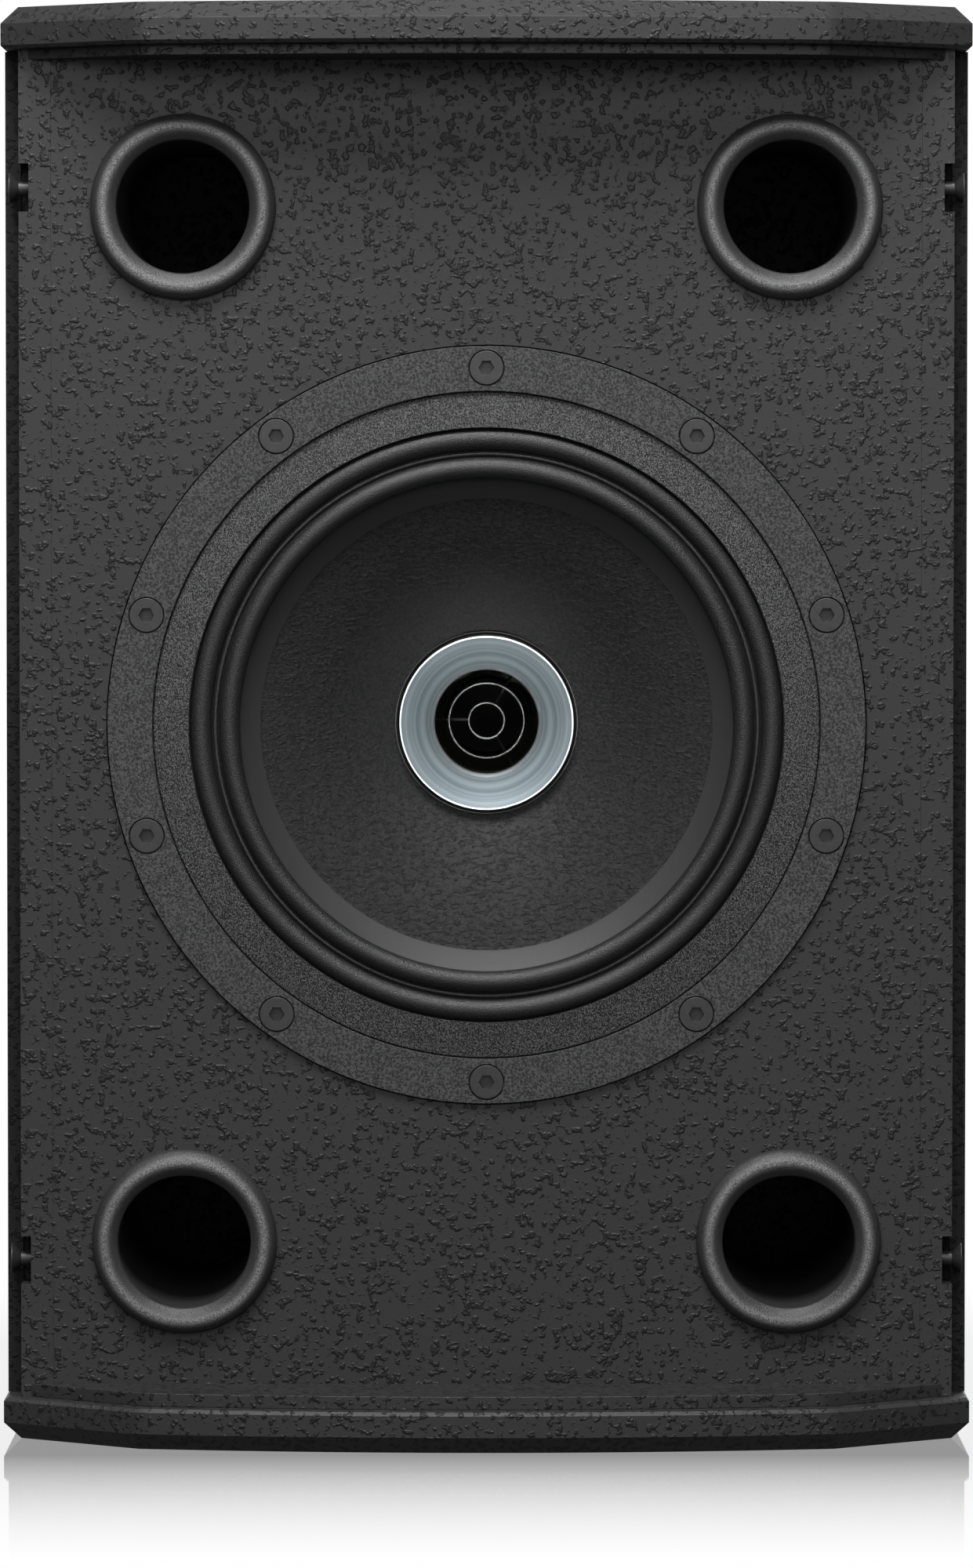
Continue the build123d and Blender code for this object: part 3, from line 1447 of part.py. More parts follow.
# Two M6 rigging inserts in the top cap, flanged under it.
insert_top = cabinet_height - blanking_pocket_depth
with BuildPart() as top_rigging_inserts:
    with BuildSketch(Plane.XY.offset(insert_top)):
        with Locations(*top_points):
            Circle(rear_insert_radius)
    extrude(amount=body_top - insert_top)
    with BuildSketch(Plane.XY.offset(body_top)):
        with Locations(*top_points):
            Circle(rear_insert_flange_radius)
    extrude(amount=-insert_flange_thick)
    with BuildSketch(Plane.XY.offset(insert_top)):
        with Locations(*top_points):
            Circle(rear_insert_bore)
    extrude(amount=-cap_thick - insert_flange_thick, mode=Mode.SUBTRACT)
top_rigging_inserts.part.label = "top_rigging_inserts"
export_step(top_rigging_inserts.part, "parts/top_rigging_inserts.step")

# Blanking screws that close the top rigging points.
with BuildPart(Plane.XY.offset(insert_top)) as top_blanking_screws:
    with Locations(*top_points):
        Cylinder(
            blanking_head_radius,
            blanking_head,
            align=(Align.CENTER, Align.CENTER, Align.MIN),
        )
        Cylinder(
            rear_insert_bore,
            insert_top - body_top,
            align=(Align.CENTER, Align.CENTER, Align.MAX),
        )
    with BuildSketch(Plane.XY.offset(insert_top + blanking_head)):
        with Locations(*top_points):
            RegularPolygon(screw_socket_size / 2, 6, major_radius=False)
    extrude(amount=-screw_socket_depth, mode=Mode.SUBTRACT)
top_blanking_screws.part.label = "top_blanking_screws"
export_step(top_blanking_screws.part, "parts/top_blanking_screws.step")

# Pole socket: drawn cup let into the bottom cap, for a loudspeaker stand's pole.
pole_outer_radius = pole_bore_radius + pole_socket_wall
with BuildPart() as pole_socket:
    with BuildSketch(Plane(origin=(0, rigging_y, 0), x_dir=(1, 0, 0), z_dir=(0, -1, 0))):
        with BuildLine():
            Polyline(
                (pole_bore_radius, pole_socket_inset),
                (pole_socket_flange_radius, pole_socket_inset),
                (pole_socket_flange_radius, pole_socket_inset + pole_socket_flange_thick),
                (pole_outer_radius, pole_socket_inset + pole_socket_flange_thick),
                (pole_outer_radius, pole_socket_depth),
                (0, pole_socket_depth),
                (0, pole_socket_depth - pole_socket_wall),
                (pole_bore_radius, pole_socket_depth - pole_socket_wall),
                close=True,
            )
        make_face()
    revolve(axis=Axis((0, rigging_y, 0), (0, 0, 1)))
    with Locations(Plane(origin=(0, rigging_y, pole_socket_inset), z_dir=(0, 0, -1))):
        with PolarLocations(pole_screw_circle_radius, pole_screw_count, start_angle=45):
            CounterSinkHole(
                pole_screw_shank_radius,
                pole_screw_head_radius,
                depth=pole_socket_flange_thick,
                counter_sink_angle=90,
            )
pole_socket.part.label = "pole_socket"
export_step(pole_socket.part, "parts/pole_socket.step")

pole_screw_head_height = pole_screw_head_radius - pole_screw_shank_radius
with BuildPart(Plane(origin=(0, rigging_y, pole_socket_inset), z_dir=(0, 0, -1))) as pole_socket_screws:
    with PolarLocations(pole_screw_circle_radius, pole_screw_count, start_angle=45):
        Cylinder(
            pole_screw_shank_radius,
            pole_screw_length,
            align=(Align.CENTER, Align.CENTER, Align.MAX),
        )
        with Locations((0, 0, -pole_screw_head_height)):
            Cone(
                pole_screw_shank_radius,
                pole_screw_head_radius,
                pole_screw_head_height,
                align=(Align.CENTER, Align.CENTER, Align.MIN),
            )
pole_socket_screws.part.label = "pole_socket_screws"
export_step(pole_socket_screws.part, "parts/pole_socket_screws.step")
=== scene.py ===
import math

import bmesh
import bpy
from mathutils import Matrix, Vector


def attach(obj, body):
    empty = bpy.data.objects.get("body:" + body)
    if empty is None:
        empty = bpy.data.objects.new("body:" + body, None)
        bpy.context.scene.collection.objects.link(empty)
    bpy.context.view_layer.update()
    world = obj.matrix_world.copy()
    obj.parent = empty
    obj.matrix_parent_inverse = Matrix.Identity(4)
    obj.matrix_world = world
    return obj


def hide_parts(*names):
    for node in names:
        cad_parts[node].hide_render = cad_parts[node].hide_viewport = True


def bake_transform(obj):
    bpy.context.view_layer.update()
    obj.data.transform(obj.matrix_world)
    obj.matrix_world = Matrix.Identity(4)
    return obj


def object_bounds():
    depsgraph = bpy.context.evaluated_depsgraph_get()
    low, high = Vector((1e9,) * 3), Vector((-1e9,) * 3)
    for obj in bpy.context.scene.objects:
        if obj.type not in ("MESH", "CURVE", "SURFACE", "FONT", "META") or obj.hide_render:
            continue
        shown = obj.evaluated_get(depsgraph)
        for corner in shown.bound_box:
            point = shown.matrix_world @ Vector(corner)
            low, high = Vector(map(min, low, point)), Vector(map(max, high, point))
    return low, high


# Compact two-way loudspeaker cabinet, seen with its grille taken off. Metres, with the
# origin on the ground under the middle of the cabinet, +Y to the rear and +Z up.
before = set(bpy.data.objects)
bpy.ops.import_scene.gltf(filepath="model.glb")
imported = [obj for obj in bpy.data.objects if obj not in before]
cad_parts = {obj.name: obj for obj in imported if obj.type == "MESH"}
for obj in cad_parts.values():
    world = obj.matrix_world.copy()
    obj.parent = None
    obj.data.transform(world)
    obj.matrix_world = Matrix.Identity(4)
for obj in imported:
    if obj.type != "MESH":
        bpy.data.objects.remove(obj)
cad_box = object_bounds()
scene = bpy.context.scene
mm = 0.001


# ---- Boards: birch plywood, rolled with structure paint ---------------------------
# The bowed caps, the side panels, the baffle and the rear panel are glued plywood
# boards, painted black together once the box is built.


def linear(code):
    """Linear colour from an sRGB hex code."""
    shares = [int(code[i : i + 2], 16) / 255 for i in (0, 2, 4)]
    return [s / 12.92 if s <= 0.04045 else ((s + 0.055) / 1.055) ** 2.4 for s in shares] + [1]


def add_node(tree, kind, links=None, **settings):
    """One shader node with its settings, and its sockets set or linked by name."""
    node = tree.nodes.new(kind)
    for name, value in settings.items():
        setattr(node, name, value)
    for name, value in (links or {}).items():
        if isinstance(value, bpy.types.NodeSocket):
            tree.links.new(value, node.inputs[name])
        else:
            node.inputs[name].default_value = value
    return node


def new_finish(name, colour, roughness, **sockets):
    """A finish with its plain values set, drawn anew for every CAD node that carries it."""
    finish = bpy.data.materials.get(name) or bpy.data.materials.new(name)
    finish.use_nodes = True
    tree = finish.node_tree
    tree.nodes.clear()
    shader = add_node(tree, "ShaderNodeBsdfPrincipled")
    add_node(tree, "ShaderNodeOutputMaterial", {"Surface": shader.outputs["BSDF"]})
    shader.inputs["Base Color"].default_value = linear(colour)
    shader.inputs["Roughness"].default_value = roughness
    for socket, value in sockets.items():
        shader.inputs[socket.replace("_", " ")].default_value = value
    place = add_node(tree, "ShaderNodeTexCoord").outputs["Object"]
    return finish, tree, shader, place


def grain(tree, place, size, detail=2.0, distortion=0.0, roughness=0.5):
    """Noise whose grains are about size millimetres wide."""
    settings = {
        "Vector": place,
        "Scale": 1 / (size * mm),
        "Detail": detail,
        "Roughness": roughness,
        "Distortion": distortion,
    }
    return add_node(tree, "ShaderNodeTexNoise", settings).outputs["Fac"]


def relief(tree, shader, height, depth, under=None):
    """Bump of that depth in millimetres on the shader, over an earlier one if there is one."""
    settings = {"Height": height, "Distance": depth * mm, "Strength": 1.0}
    if under:
        settings["Normal"] = under
    normal = add_node(tree, "ShaderNodeBump", settings).outputs["Normal"]
    tree.links.new(normal, shader.inputs["Normal"])
    return normal


def spread(tree, value, low, high, out_low=0.0, out_high=1.0):
    """The value between low and high, moved smoothly to the range from out_low to out_high."""
    settings = {
        "Value": value,
        "From Min": low,
        "From Max": high,
        "To Min": out_low,
        "To Max": out_high,
    }
    node = add_node(tree, "ShaderNodeMapRange", settings, interpolation_type="SMOOTHSTEP")
    return node.outputs["Result"]


def tint(tree, shader, factor, dark, light):
    """Base colour that runs from dark to light with the factor."""
    colours = {0: factor, 6: linear(dark), 7: linear(light)}
    mix = add_node(tree, "ShaderNodeMix", colours, data_type="RGBA")
    tree.links.new(mix.outputs[2], shader.inputs["Base Color"])


def number_math(tree, operation, *values):
    """Result of a math node on numbers or sockets."""
    node = add_node(tree, "ShaderNodeMath", dict(enumerate(values)), operation=operation)
    return node.outputs[0]


def vector_math(tree, operation, *values):
    """Result of a vector math node: a number for LENGTH, or else a vector."""
    node = add_node(tree, "ShaderNodeVectorMath", dict(enumerate(values)), operation=operation)
    return node.outputs["Value" if operation == "LENGTH" else "Vector"]


# Structure paint: the roller leaves a smooth satin film with raised drops and short
# worms, 1 to 3 mm across, that dry darker than the film between them.
paint, tree, shader, place = new_finish("textured_paint", "2b2b2c", 0.5, Specular_IOR_Level=0.35)
worms = grain(tree, place, 1.8, detail=2.4, distortion=0.15, roughness=0.42)
patches = spread(tree, grain(tree, place, 8.0, detail=1.0), 0.3, 0.7, -0.006, 0.006)
level = number_math(tree, "ADD", worms, patches)
tint(tree, shader, spread(tree, level, 0.534, 0.566), "2b2b2c", "1a1a1b")
film = relief(tree, shader, grain(tree, place, 0.9, detail=3.0), 0.015)
relief(tree, shader, spread(tree, level, 0.525, 0.71), 0.22, film)

weld = 0.002 * mm  # corners nearer than this become one
crease = math.radians(40)  # edges over this angle stay sharp in the shading


def bevel(shape, geom, size, segments, affect="EDGES", clamp=True):
    """Bevels edges or corners of the shape by size millimetres."""
    bmesh.ops.bevel(
        shape,
        geom=geom,
        offset=size * mm,
        offset_type="OFFSET",
        segments=segments,
        profile=0.5,
        affect=affect,
        clamp_overlap=clamp,
        material=-1,
    )


def soften(shape, width, segments=3, sharper_than=30):
    """Rounds every edge of the shape that is sharper than that many degrees."""
    bmesh.ops.remove_doubles(shape, verts=shape.verts, dist=weld)
    bmesh.ops.recalc_face_normals(shape, faces=shape.faces)
    limit = math.radians(sharper_than)
    edges = [e for e in shape.edges if e.is_manifold and e.calc_face_angle(0) > limit]
    bevel(shape, edges, width, segments)
    return shape


def add_object(name, shape, finish):
    """The shape as an object at the origin, with its sharp edges marked."""
    for edge in shape.edges:
        edge.smooth = not (edge.is_manifold and edge.calc_face_angle(0) > crease)
    mesh = bpy.data.meshes.new(name)
    shape.to_mesh(mesh)
    shape.free()
    mesh.materials.append(finish)
    piece = bpy.data.objects.new(name, mesh)
    scene.collection.objects.link(piece)
    return piece


def make_piece(name, shape, finish, body, *nodes, flat=True):
    """The finished shape as a piece that rides on the body and stands for the CAD nodes."""
    bmesh.ops.recalc_face_normals(shape, faces=shape.faces)
    for face in shape.faces:
        face.smooth = True
    piece = add_object(name, shape, finish)
    if flat:
        piece.modifiers.new("flat_faces", "WEIGHTED_NORMAL").keep_sharp = True
    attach(piece, body)
    if nodes:
        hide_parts(*nodes)
    return piece


def refinish(piece, finish, chosen):
    """Gives another finish to the polygons whose centre passes the test."""
    piece.data.materials.append(finish)
    for polygon in piece.data.polygons:
        if chosen(polygon.center):
            polygon.material_index = len(piece.data.materials) - 1


def board(low, high):
    """A squared board between two corners, in millimetres."""
    shape = bmesh.new()
    bmesh.ops.create_cube(shape, size=1)
    low, high = Vector(low) * mm, Vector(high) * mm
    bmesh.ops.scale(shape, vec=high - low, verts=shape.verts)
    bmesh.ops.translate(shape, vec=(low + high) / 2, verts=shape.verts)
    return shape


def turned(profile, centre, axis="Y", steps=96, rounded=()):
    """A turned solid. The profile is in (radius, distance along the axis) pairs in
    millimetres, and rounded holds (corner, millimetres, segments)."""
    shape = bmesh.new()
    centre = Vector(centre) * mm
    along = {"X": Vector((1, 0, 0)), "Y": Vector((0, 1, 0)), "Z": Vector((0, 0, 1))}[axis]
    out = Vector((0, 0, 1)) if axis == "X" else Vector((1, 0, 0))
    corners = [shape.verts.new(centre + out * r * mm + along * d * mm) for r, d in profile]
    for (r, _), (next_r, _), start, end in zip(
        profile, profile[1:] + profile[:1], corners, corners[1:] + corners[:1]
    ):
        if r > 0 or next_r > 0:
            shape.edges.new((start, end))
    for corner, size, segments in rounded:
        bevel(shape, [corners[corner]], size, segments, "VERTICES", clamp=False)
    bmesh.ops.spin(
        shape,
        geom=shape.verts[:] + shape.edges[:],
        cent=centre,
        axis=along,
        angle=math.tau,
        steps=steps,
        use_merge=True,
    )
    bmesh.ops.remove_doubles(shape, verts=shape.verts, dist=weld)
    bmesh.ops.dissolve_degenerate(shape, edges=shape.edges, dist=weld / 2)
    return shape


def drill(radius, low, high, centre, axis="Y", steps=96):
    """A plain cylinder between two distances along the axis, to bore a hole with."""
    profile = [(0, low), (radius, low), (radius, high), (0, high)]
    return turned(profile, centre, axis, steps)


def join(*shapes):
    """Several shapes as one, the first of them."""
    first = shapes[0]
    for other in shapes[1:]:
        mesh = bpy.data.meshes.new("joining")
        other.to_mesh(mesh)
        other.free()
        first.from_mesh(mesh)
        bpy.data.meshes.remove(mesh)
    return first


def cut(shape, *tools, how="DIFFERENCE"):
    """The shape after each tool's shape has been cut out of it, or joined to it."""
    for tool in tools:
        parts = []
        for part in (shape, tool):
            bmesh.ops.recalc_face_normals(part, faces=part.faces)
            mesh = bpy.data.meshes.new("cutting")
            part.to_mesh(mesh)
            part.free()
            parts.append(bpy.data.objects.new("cutting", mesh))
            scene.collection.objects.link(parts[-1])
        saw = parts[0].modifiers.new("saw", "BOOLEAN")
        saw.object = parts[1]
        saw.operation = how
        saw.solver = "EXACT"
        shape = bmesh.new()
        shape.from_object(parts[0], bpy.context.evaluated_depsgraph_get())
        for part in parts:
            bpy.data.meshes.remove(part.data)
    return shape


# Sizes of the box in millimetres. The caps stand 1 mm over the sides, the baffle lies
# 34 mm behind the middle of their bowed front, and the rear panel 3 mm inside the sides.
width, depth, height = [round(size / mm, 2) for size in cad_box[1] - cad_box[0]]
cap_thick, cap_chamfer, cap_overhang = 12.0, 4.85, 1.0
bow_half, bow_rise, facet_back = 100.0, 8.4, 32.0
wall_thick, baffle_thick, rear_thick = 13.0, 15.0, 12.0
side_half = width / 2 - cap_overhang
inner_half = side_half - wall_thick
front, back = -depth / 2, depth / 2
baffle_front = front + 34.0
side_back = back - cap_overhang
rear_face = side_back - 3.0
low_end, high_end = cap_thick, height - cap_thick
middle = height / 2


def bowed_outline(level):
    """Plan of a cap: bowed front, two flat facets and a square back."""
    shape = bmesh.new()
    bow_radius = (bow_half**2 + bow_rise**2) / (2 * bow_rise)
    start = shape.verts.new(Vector((-bow_half, front + bow_rise, level)) * mm)
    arc = bmesh.ops.spin(
        shape,
        geom=[start],
        cent=Vector((0, front + bow_radius, level)) * mm,
        axis=(0, 0, 1),
        angle=2 * math.asin(bow_half / bow_radius),
        steps=40,
    )
    last = next(v for v in arc["geom_last"] if isinstance(v, bmesh.types.BMVert))
    for side, y in ((1, front + facet_back), (1, back), (-1, back), (-1, front + facet_back)):
        corner = shape.verts.new(Vector((side * width / 2, y, level)) * mm)
        shape.edges.new((last, corner))
        last = corner
    shape.edges.new((last, start))
    bmesh.ops.contextual_create(shape, geom=shape.edges[:])
    return shape


def thicken(shape, way):
    """Gives a flat outline its thickness. The way is a vector in millimetres."""
    moved = bmesh.ops.extrude_face_region(shape, geom=shape.faces[:])["geom"]
    corners = [v for v in moved if isinstance(v, bmesh.types.BMVert)]
    bmesh.ops.translate(shape, vec=[length * mm for length in way], verts=corners)
    bmesh.ops.recalc_face_normals(shape, faces=shape.faces)
    return shape


def cap(level, outer_up):
    """One cap with a wide bevel round its outer face and a small one round the inner."""
    shape = thicken(bowed_outline(level), (0, 0, cap_thick))
    by_height = sorted(shape.faces, key=lambda face: face.calc_center_median().z)
    wide, narrow = (by_height[-1], by_height[0]) if outer_up else (by_height[0], by_height[-1])
    for face, size in ((wide, cap_chamfer), (narrow, cap_overhang)):
        bevel(shape, face.edges[:], size, 1, clamp=False)
    return soften(shape, 0.12, 2)


# The top cap is pocketed over its two rigging points, and the bottom cap is bored and
# recessed for the pole socket.
rigging_y = 12.0
top_points = (-60.0, 60.0)
pocket_radius, pocket_deep = 6.3, 3.5
pockets = [
    drill(pocket_radius, -pocket_deep, 2, (x, rigging_y, height), "Z", 64) for x in top_points
]
top_board = cut(cap(high_end, True), *pockets)
make_piece("top_cap_board", top_board, paint, "cabinet", "top_cap")
pole_recess = [(0, -2), (38.2, -2), (38.2, 3.0), (20.6, 3.0), (20.6, 14), (0, 14)]
bottom_board = cut(cap(0, False), turned(pole_recess, (0, rigging_y, 0), "Z"))
make_piece("bottom_cap_board", bottom_board, paint, "cabinet", "bottom_cap")


def side_board(side, reach, y, z):
    """A board on one side of the cabinet, between pairs of distances in millimetres."""
    low, high = sorted(side * x for x in reach)
    return board((low, y[0], z[0]), (high, y[1], z[1]))


# The side panels are stepped for the grille's folded edge, and cut deeper where a
# grille screw goes in. The paint there is darker and duller; the darkness is painted shade.
shaded_rebate_finish, tree, shader, place = new_finish(
    "painted_shade_in_rebates", "1a1a1b", 0.7, Specular_IOR_Level=0.2
)
blots = spread(tree, grain(tree, place, 1.9, detail=1.2), 0.52, 0.6)
tint(tree, shader, blots, "1c1c1d", "101011")
relief(tree, shader, blots, 0.15)
grille_y = baffle_front + 5.5
grille_heights = (51.0, height - 51.0)
side_extra = 0.6  # how much further out the side's face stands than its solid
step_wide, step_deep = 3.9, 11.0
notch_reach, notch_half, notch_deep = 6.7, 6.8, 12.5
insert_hole, yoke_hole = 2.4, 6.0
for side, name in ((-1, "left_side"), (1, "right_side")):
    panel = side_board(
        side, (inner_half, side_half + side_extra), (baffle_front, side_back), (low_end, high_end)
    )
    step = side_board(
        side,
        (side_half - step_wide, side_half + 2),
        (baffle_front - 2, baffle_front + step_deep),
        (0, height),
    )
    panel = cut(panel, step)
    for level in grille_heights:
        notch = side_board(
            side,
            (side_half - notch_reach, side_half - step_wide + 0.1),
            (baffle_front - 2, baffle_front + notch_deep),
            (level - notch_half, level + notch_half),
        )
        insert_place = (side * (side_half - 8), grille_y, level)
        panel = cut(panel, notch, drill(insert_hole, -8 * side, 8 * side, insert_place, "X", 32))
    yoke = drill(yoke_hole, -20, 20, (side * 130, rigging_y, middle), "X", 64)
    side_piece = make_piece(
        name + "_board", soften(cut(panel, yoke), 0.15, 2), paint, "cabinet", name + "_panel"
    )
    # Painted shade: the faces of the step and the notches take the darker paint.
    refinish(
        side_piece,
        shaded_rebate_finish,
        lambda at: abs(at.x) > (side_half - 7) * mm and mm < at.y - baffle_front * mm < 15 * mm,
    )

# The baffle is rebated for the driver and bored for the four ports.
port_x, port_inset, port_bore = 86.0, 56.5, 21.2
port_places = [(x, z) for z in (height - port_inset, port_inset) for x in (-port_x, port_x)]
rebate_radius, rebate_deep, opening_radius = 108.0, 6.0, 94.7
driver_rebate = [(0, -5), (rebate_radius, -5), (rebate_radius, rebate_deep)]
driver_rebate += [(opening_radius, rebate_deep), (opening_radius, 20), (0, 20)]
baffle_back = baffle_front + baffle_thick
front_board = cut(
    board((-inner_half, baffle_front, low_end), (inner_half, baffle_back, high_end)),
    turned(driver_rebate, (0, baffle_front, middle), steps=192),
    *[drill(port_bore, -5, 20, (x, baffle_front, z)) for x, z in port_places],
)
make_piece("front_baffle_board", soften(front_board, 0.12, 2), paint, "cabinet", "baffle")


def thick_plate(wide, high, corner, centre, y, thick):
    """Solid plate in the XZ plane with rounded corners, from y towards the rear."""
    shape = bmesh.new()
    bmesh.ops.create_grid(shape, x_segments=1, y_segments=1, size=0.5)
    bmesh.ops.scale(shape, vec=(wide * mm, high * mm, 1), verts=shape.verts)
    bevel(shape, shape.verts[:], corner, 8, "VERTICES")
    for v in shape.verts:
        v.co = (centre[0] * mm + v.co.x, y * mm, centre[1] * mm + v.co.y)
    return thicken(shape, (0, thick, 0))


# The rear panel has an opening for the input dish and four holes for a wall bracket.
dish_z = 78.0
bracket_hole = 4.5
bracket_places = [(x, z) for z in (171.5, 298.5) for x in (-35.0, 35.0)]
rear_board = cut(
    board((-inner_half, rear_face - rear_thick, low_end), (inner_half, rear_face, high_end)),
    thick_plate(116, 66, 6, (0, dish_z), rear_face - 20, 30),
    *[drill(bracket_hole, -20, 5, (x, rear_face, z), steps=48) for x, z in bracket_places],
)
make_piece("rear_board", soften(rear_board, 0.4), paint, "cabinet", "rear_panel")

# Grille rails: plywood strips under the caps' bowed edge, which the grille closes on.
rail_inset = 5.7
for name, level, tall in (
    ("upper_grille_rail", high_end - 2.9, 2.9),
    ("lower_grille_rail", low_end, 3.7),
):
    strip = bowed_outline(level)
    bmesh.ops.inset_region(
        strip,
        faces=strip.faces[:],
        thickness=rail_inset * mm,
        use_even_offset=True,
        use_boundary=True,
    )
    rim = [f for f in strip.faces if any(e.is_boundary for e in f.edges)]
    bmesh.ops.delete(strip, geom=rim, context="FACES")
    bmesh.ops.bisect_plane(
        strip,
        geom=strip.verts[:] + strip.edges[:] + strip.faces[:],
        plane_co=(0, baffle_front * mm, 0),
        plane_no=(0, 1, 0),
        clear_outer=True,
    )
    rail = soften(thicken(strip, (0, 0, tall)), 0.2)
    make_piece(name + "_strip", rail, paint, "cabinet", name)


# ---- Ports: injection-moulded ABS tubes pressed into the baffle --------------------
# The flared flange is spark-eroded, so it is dull black with a fine grain. A paler band
# with glints round its crest is painted highlight. The real grain is about 0.2 mm wide
# and is drawn twice as coarse, so that it shows.
moulding, tree, shader, place = new_finish("moulded_port", "202021", 0.5, Specular_IOR_Level=0.5)
sparks = grain(tree, place, 0.5, detail=2.0)
specks = grain(tree, place, 0.36, detail=1.0)
crest_radius = 22.8
port_from_middle = (port_x * mm, 0, (middle - port_inset) * mm)
folded = vector_math(tree, "SUBTRACT", place, (0, 0, middle * mm))
folded = vector_math(tree, "ABSOLUTE", folded)
folded = vector_math(tree, "SUBTRACT", folded, port_from_middle)
folded = vector_math(tree, "MULTIPLY", folded, (1, 0, 1))
from_axis = vector_math(tree, "LENGTH", folded)
from_crest = number_math(tree, "SUBTRACT", from_axis, crest_radius * mm)
from_crest = number_math(tree, "ABSOLUTE", from_crest)
wander = spread(tree, specks, 0.3, 0.7, -0.7 * mm, 0.7 * mm)
ragged = number_math(tree, "ADD", from_crest, wander)
# Painted highlight: a paler band along the crest, broken by painted glints.
painted_highlight = spread(tree, ragged, 0.6 * mm, 2.2 * mm, 1.0, 0.0)
glints = spread(tree, specks, 0.44, 0.56, 0.25, 1.0)
painted_highlight = number_math(tree, "MULTIPLY", painted_highlight, glints)
tint(tree, shader, painted_highlight, "29292a", "747475")
relief(tree, shader, sparks, 0.16)
flange = [(26.3, 0), (26.3, -2.2), (24.2, -4.2), (22.6, -4.6), (21.2, -4.2), (18.8, -2.6)]
sleeve = [(19.0, 4.6), (19.0, 99.6), (19.4, 100), (21.0, 100), (21.0, 0)]
arcs = [(1, 1.1, 4), (2, 0.8, 5), (4, 0.8, 5), (5, 0.6, 4)]
port_names = ("upper_left_port", "upper_right_port", "lower_left_port", "lower_right_port")
for (x, z), name in zip(port_places, port_names):
    tube = turned(flange + sleeve, (x, baffle_front, z), steps=128, rounded=arcs)
    make_piece(name + "_moulding", tube, moulding, "cabinet", name, flat=False)


# ---- Driver front: steel clamp ring, countersunk screws and gasket ring -------------
# The clamp ring is turned steel with a sandy powder coat. Ten black M5 screws go through
# it and hold the driver in the baffle's rebate.
ring_front = baffle_front - 1.5
ring_inner, ring_outer, ring_thick = 94.9, 107.65, 3.5
screw_circle = 101.5
turns = [math.tau * k / 10 for k in range(10)]
screw_places = [
    (screw_circle * math.sin(turn), middle + screw_circle * math.cos(turn)) for turn in turns
]
ring_coat, tree, shader, place = new_finish(
    "ring_powder_coat", "313132", 0.55, Specular_IOR_Level=0.4
)
sand = grain(tree, place, 0.65, detail=3.0, roughness=0.85)
tint(tree, shader, spread(tree, sand, 0.42, 0.58), "0e0e0f", "464647")
relief(tree, shader, sand, 0.2)
profile = [(ring_inner, ring_thick), (ring_inner, 0), (ring_outer, 0), (ring_outer, ring_thick)]
ring = soften(turned(profile, (0, ring_front, middle), steps=256), 0.24, 2)
countersink = [(0, -1), (5.2, -1), (5.2, 0.7), (2.75, 2.75), (2.75, 6), (0, 6)]
ring = cut(ring, *[turned(countersink, (x, ring_front, z), steps=64) for x, z in screw_places])
make_piece("clamp_ring", ring, ring_coat, "cabinet", "driver_clamp_ring")


def hex_tool(across, y, deep, x, z, axis="Y"):
    """Six-sided cutter for a socket that is deep millimetres deep, from a face along Y, along
    Z from above, or along X from the side whose sign is given as the axis."""
    shape = bmesh.new()
    outside = 2  # how far the cutter stands out of the face
    bmesh.ops.create_cone(
        shape,
        cap_ends=True,
        segments=6,
        radius1=across / math.sqrt(3) * mm,
        radius2=across / math.sqrt(3) * mm,
        depth=(deep + outside) * mm,
    )
    for v in shape.verts:
        spot = v.co.copy()
        along = spot.z + (deep - outside) / 2 * mm
        if axis == "Y":
            v.co = (x * mm + spot.y, y * mm + along, z * mm + spot.x)
        elif axis == "Z":
            v.co = (x * mm + spot.x, y * mm + spot.y, z * mm - along)
        else:
            v.co = (x * mm - along * axis, y * mm + spot.y, z * mm + spot.x)
    return shape


black_steel, tree, shader, place = new_finish("black_screw_steel", "3a3a3b", 0.42, Metallic=0.55)
tint(tree, shader, grain(tree, place, 2.0, detail=3.0), "333334", "424243")
relief(tree, shader, grain(tree, place, 0.25, detail=2.0), 0.006)
hex_across, hex_deep = 3.8, 2.4
heads = []
head_profile = [(0, 0.05), (4.82, 0.05), (4.82, 0.6), (2.5, 2.85), (2.5, 20), (0, 20)]
for x, z in screw_places:
    head = turned(head_profile, (x, ring_front, z), steps=64, rounded=[(1, 0.18, 3)])
    heads.append(cut(head, hex_tool(hex_across, ring_front, hex_deep, x, z)))
ring_screws = soften(join(*heads), 0.1, 2, 50)
make_piece("ring_screws", ring_screws, black_steel, "cabinet", "driver_screws")

# The gasket ring is fibreboard faced with leathercloth, whose grain catches the light.
leathercloth, tree, shader, place = new_finish("gasket_leathercloth", "3a3a3b", 0.45)
stretch = {"Vector": place, "Scale": (1.5, 1.5, 0.8)}
creases = add_node(tree, "ShaderNodeMapping", stretch).outputs["Vector"]
grains = grain(tree, creases, 0.5, detail=1.6, distortion=0.4, roughness=0.75)
tint(tree, shader, spread(tree, grains, 0.44, 0.58), "151516", "525253")
relief(tree, shader, grains, 0.55)
crown = [(84.6, 2.7), (84.6, -0.3), (94.5, 1.2), (94.5, 3.0)]
lip = [(95.1, 3.0), (95.1, 3.4), (94.0, 3.4), (94.0, 2.7)]
gasket = soften(turned(crown + lip, (0, ring_front, middle), steps=256), 0.1, 2)
make_piece("gasket", gasket, leathercloth, "cabinet", "gasket_ring")


# ---- Surround: woven cotton, doped black and pressed into two rolls ------------------
# Its outer lip is clamped by the gasket ring and its inner foot is glued to the cone.
# It is built as 24 sectors.
driver = Vector((0, ring_front, middle)) * mm


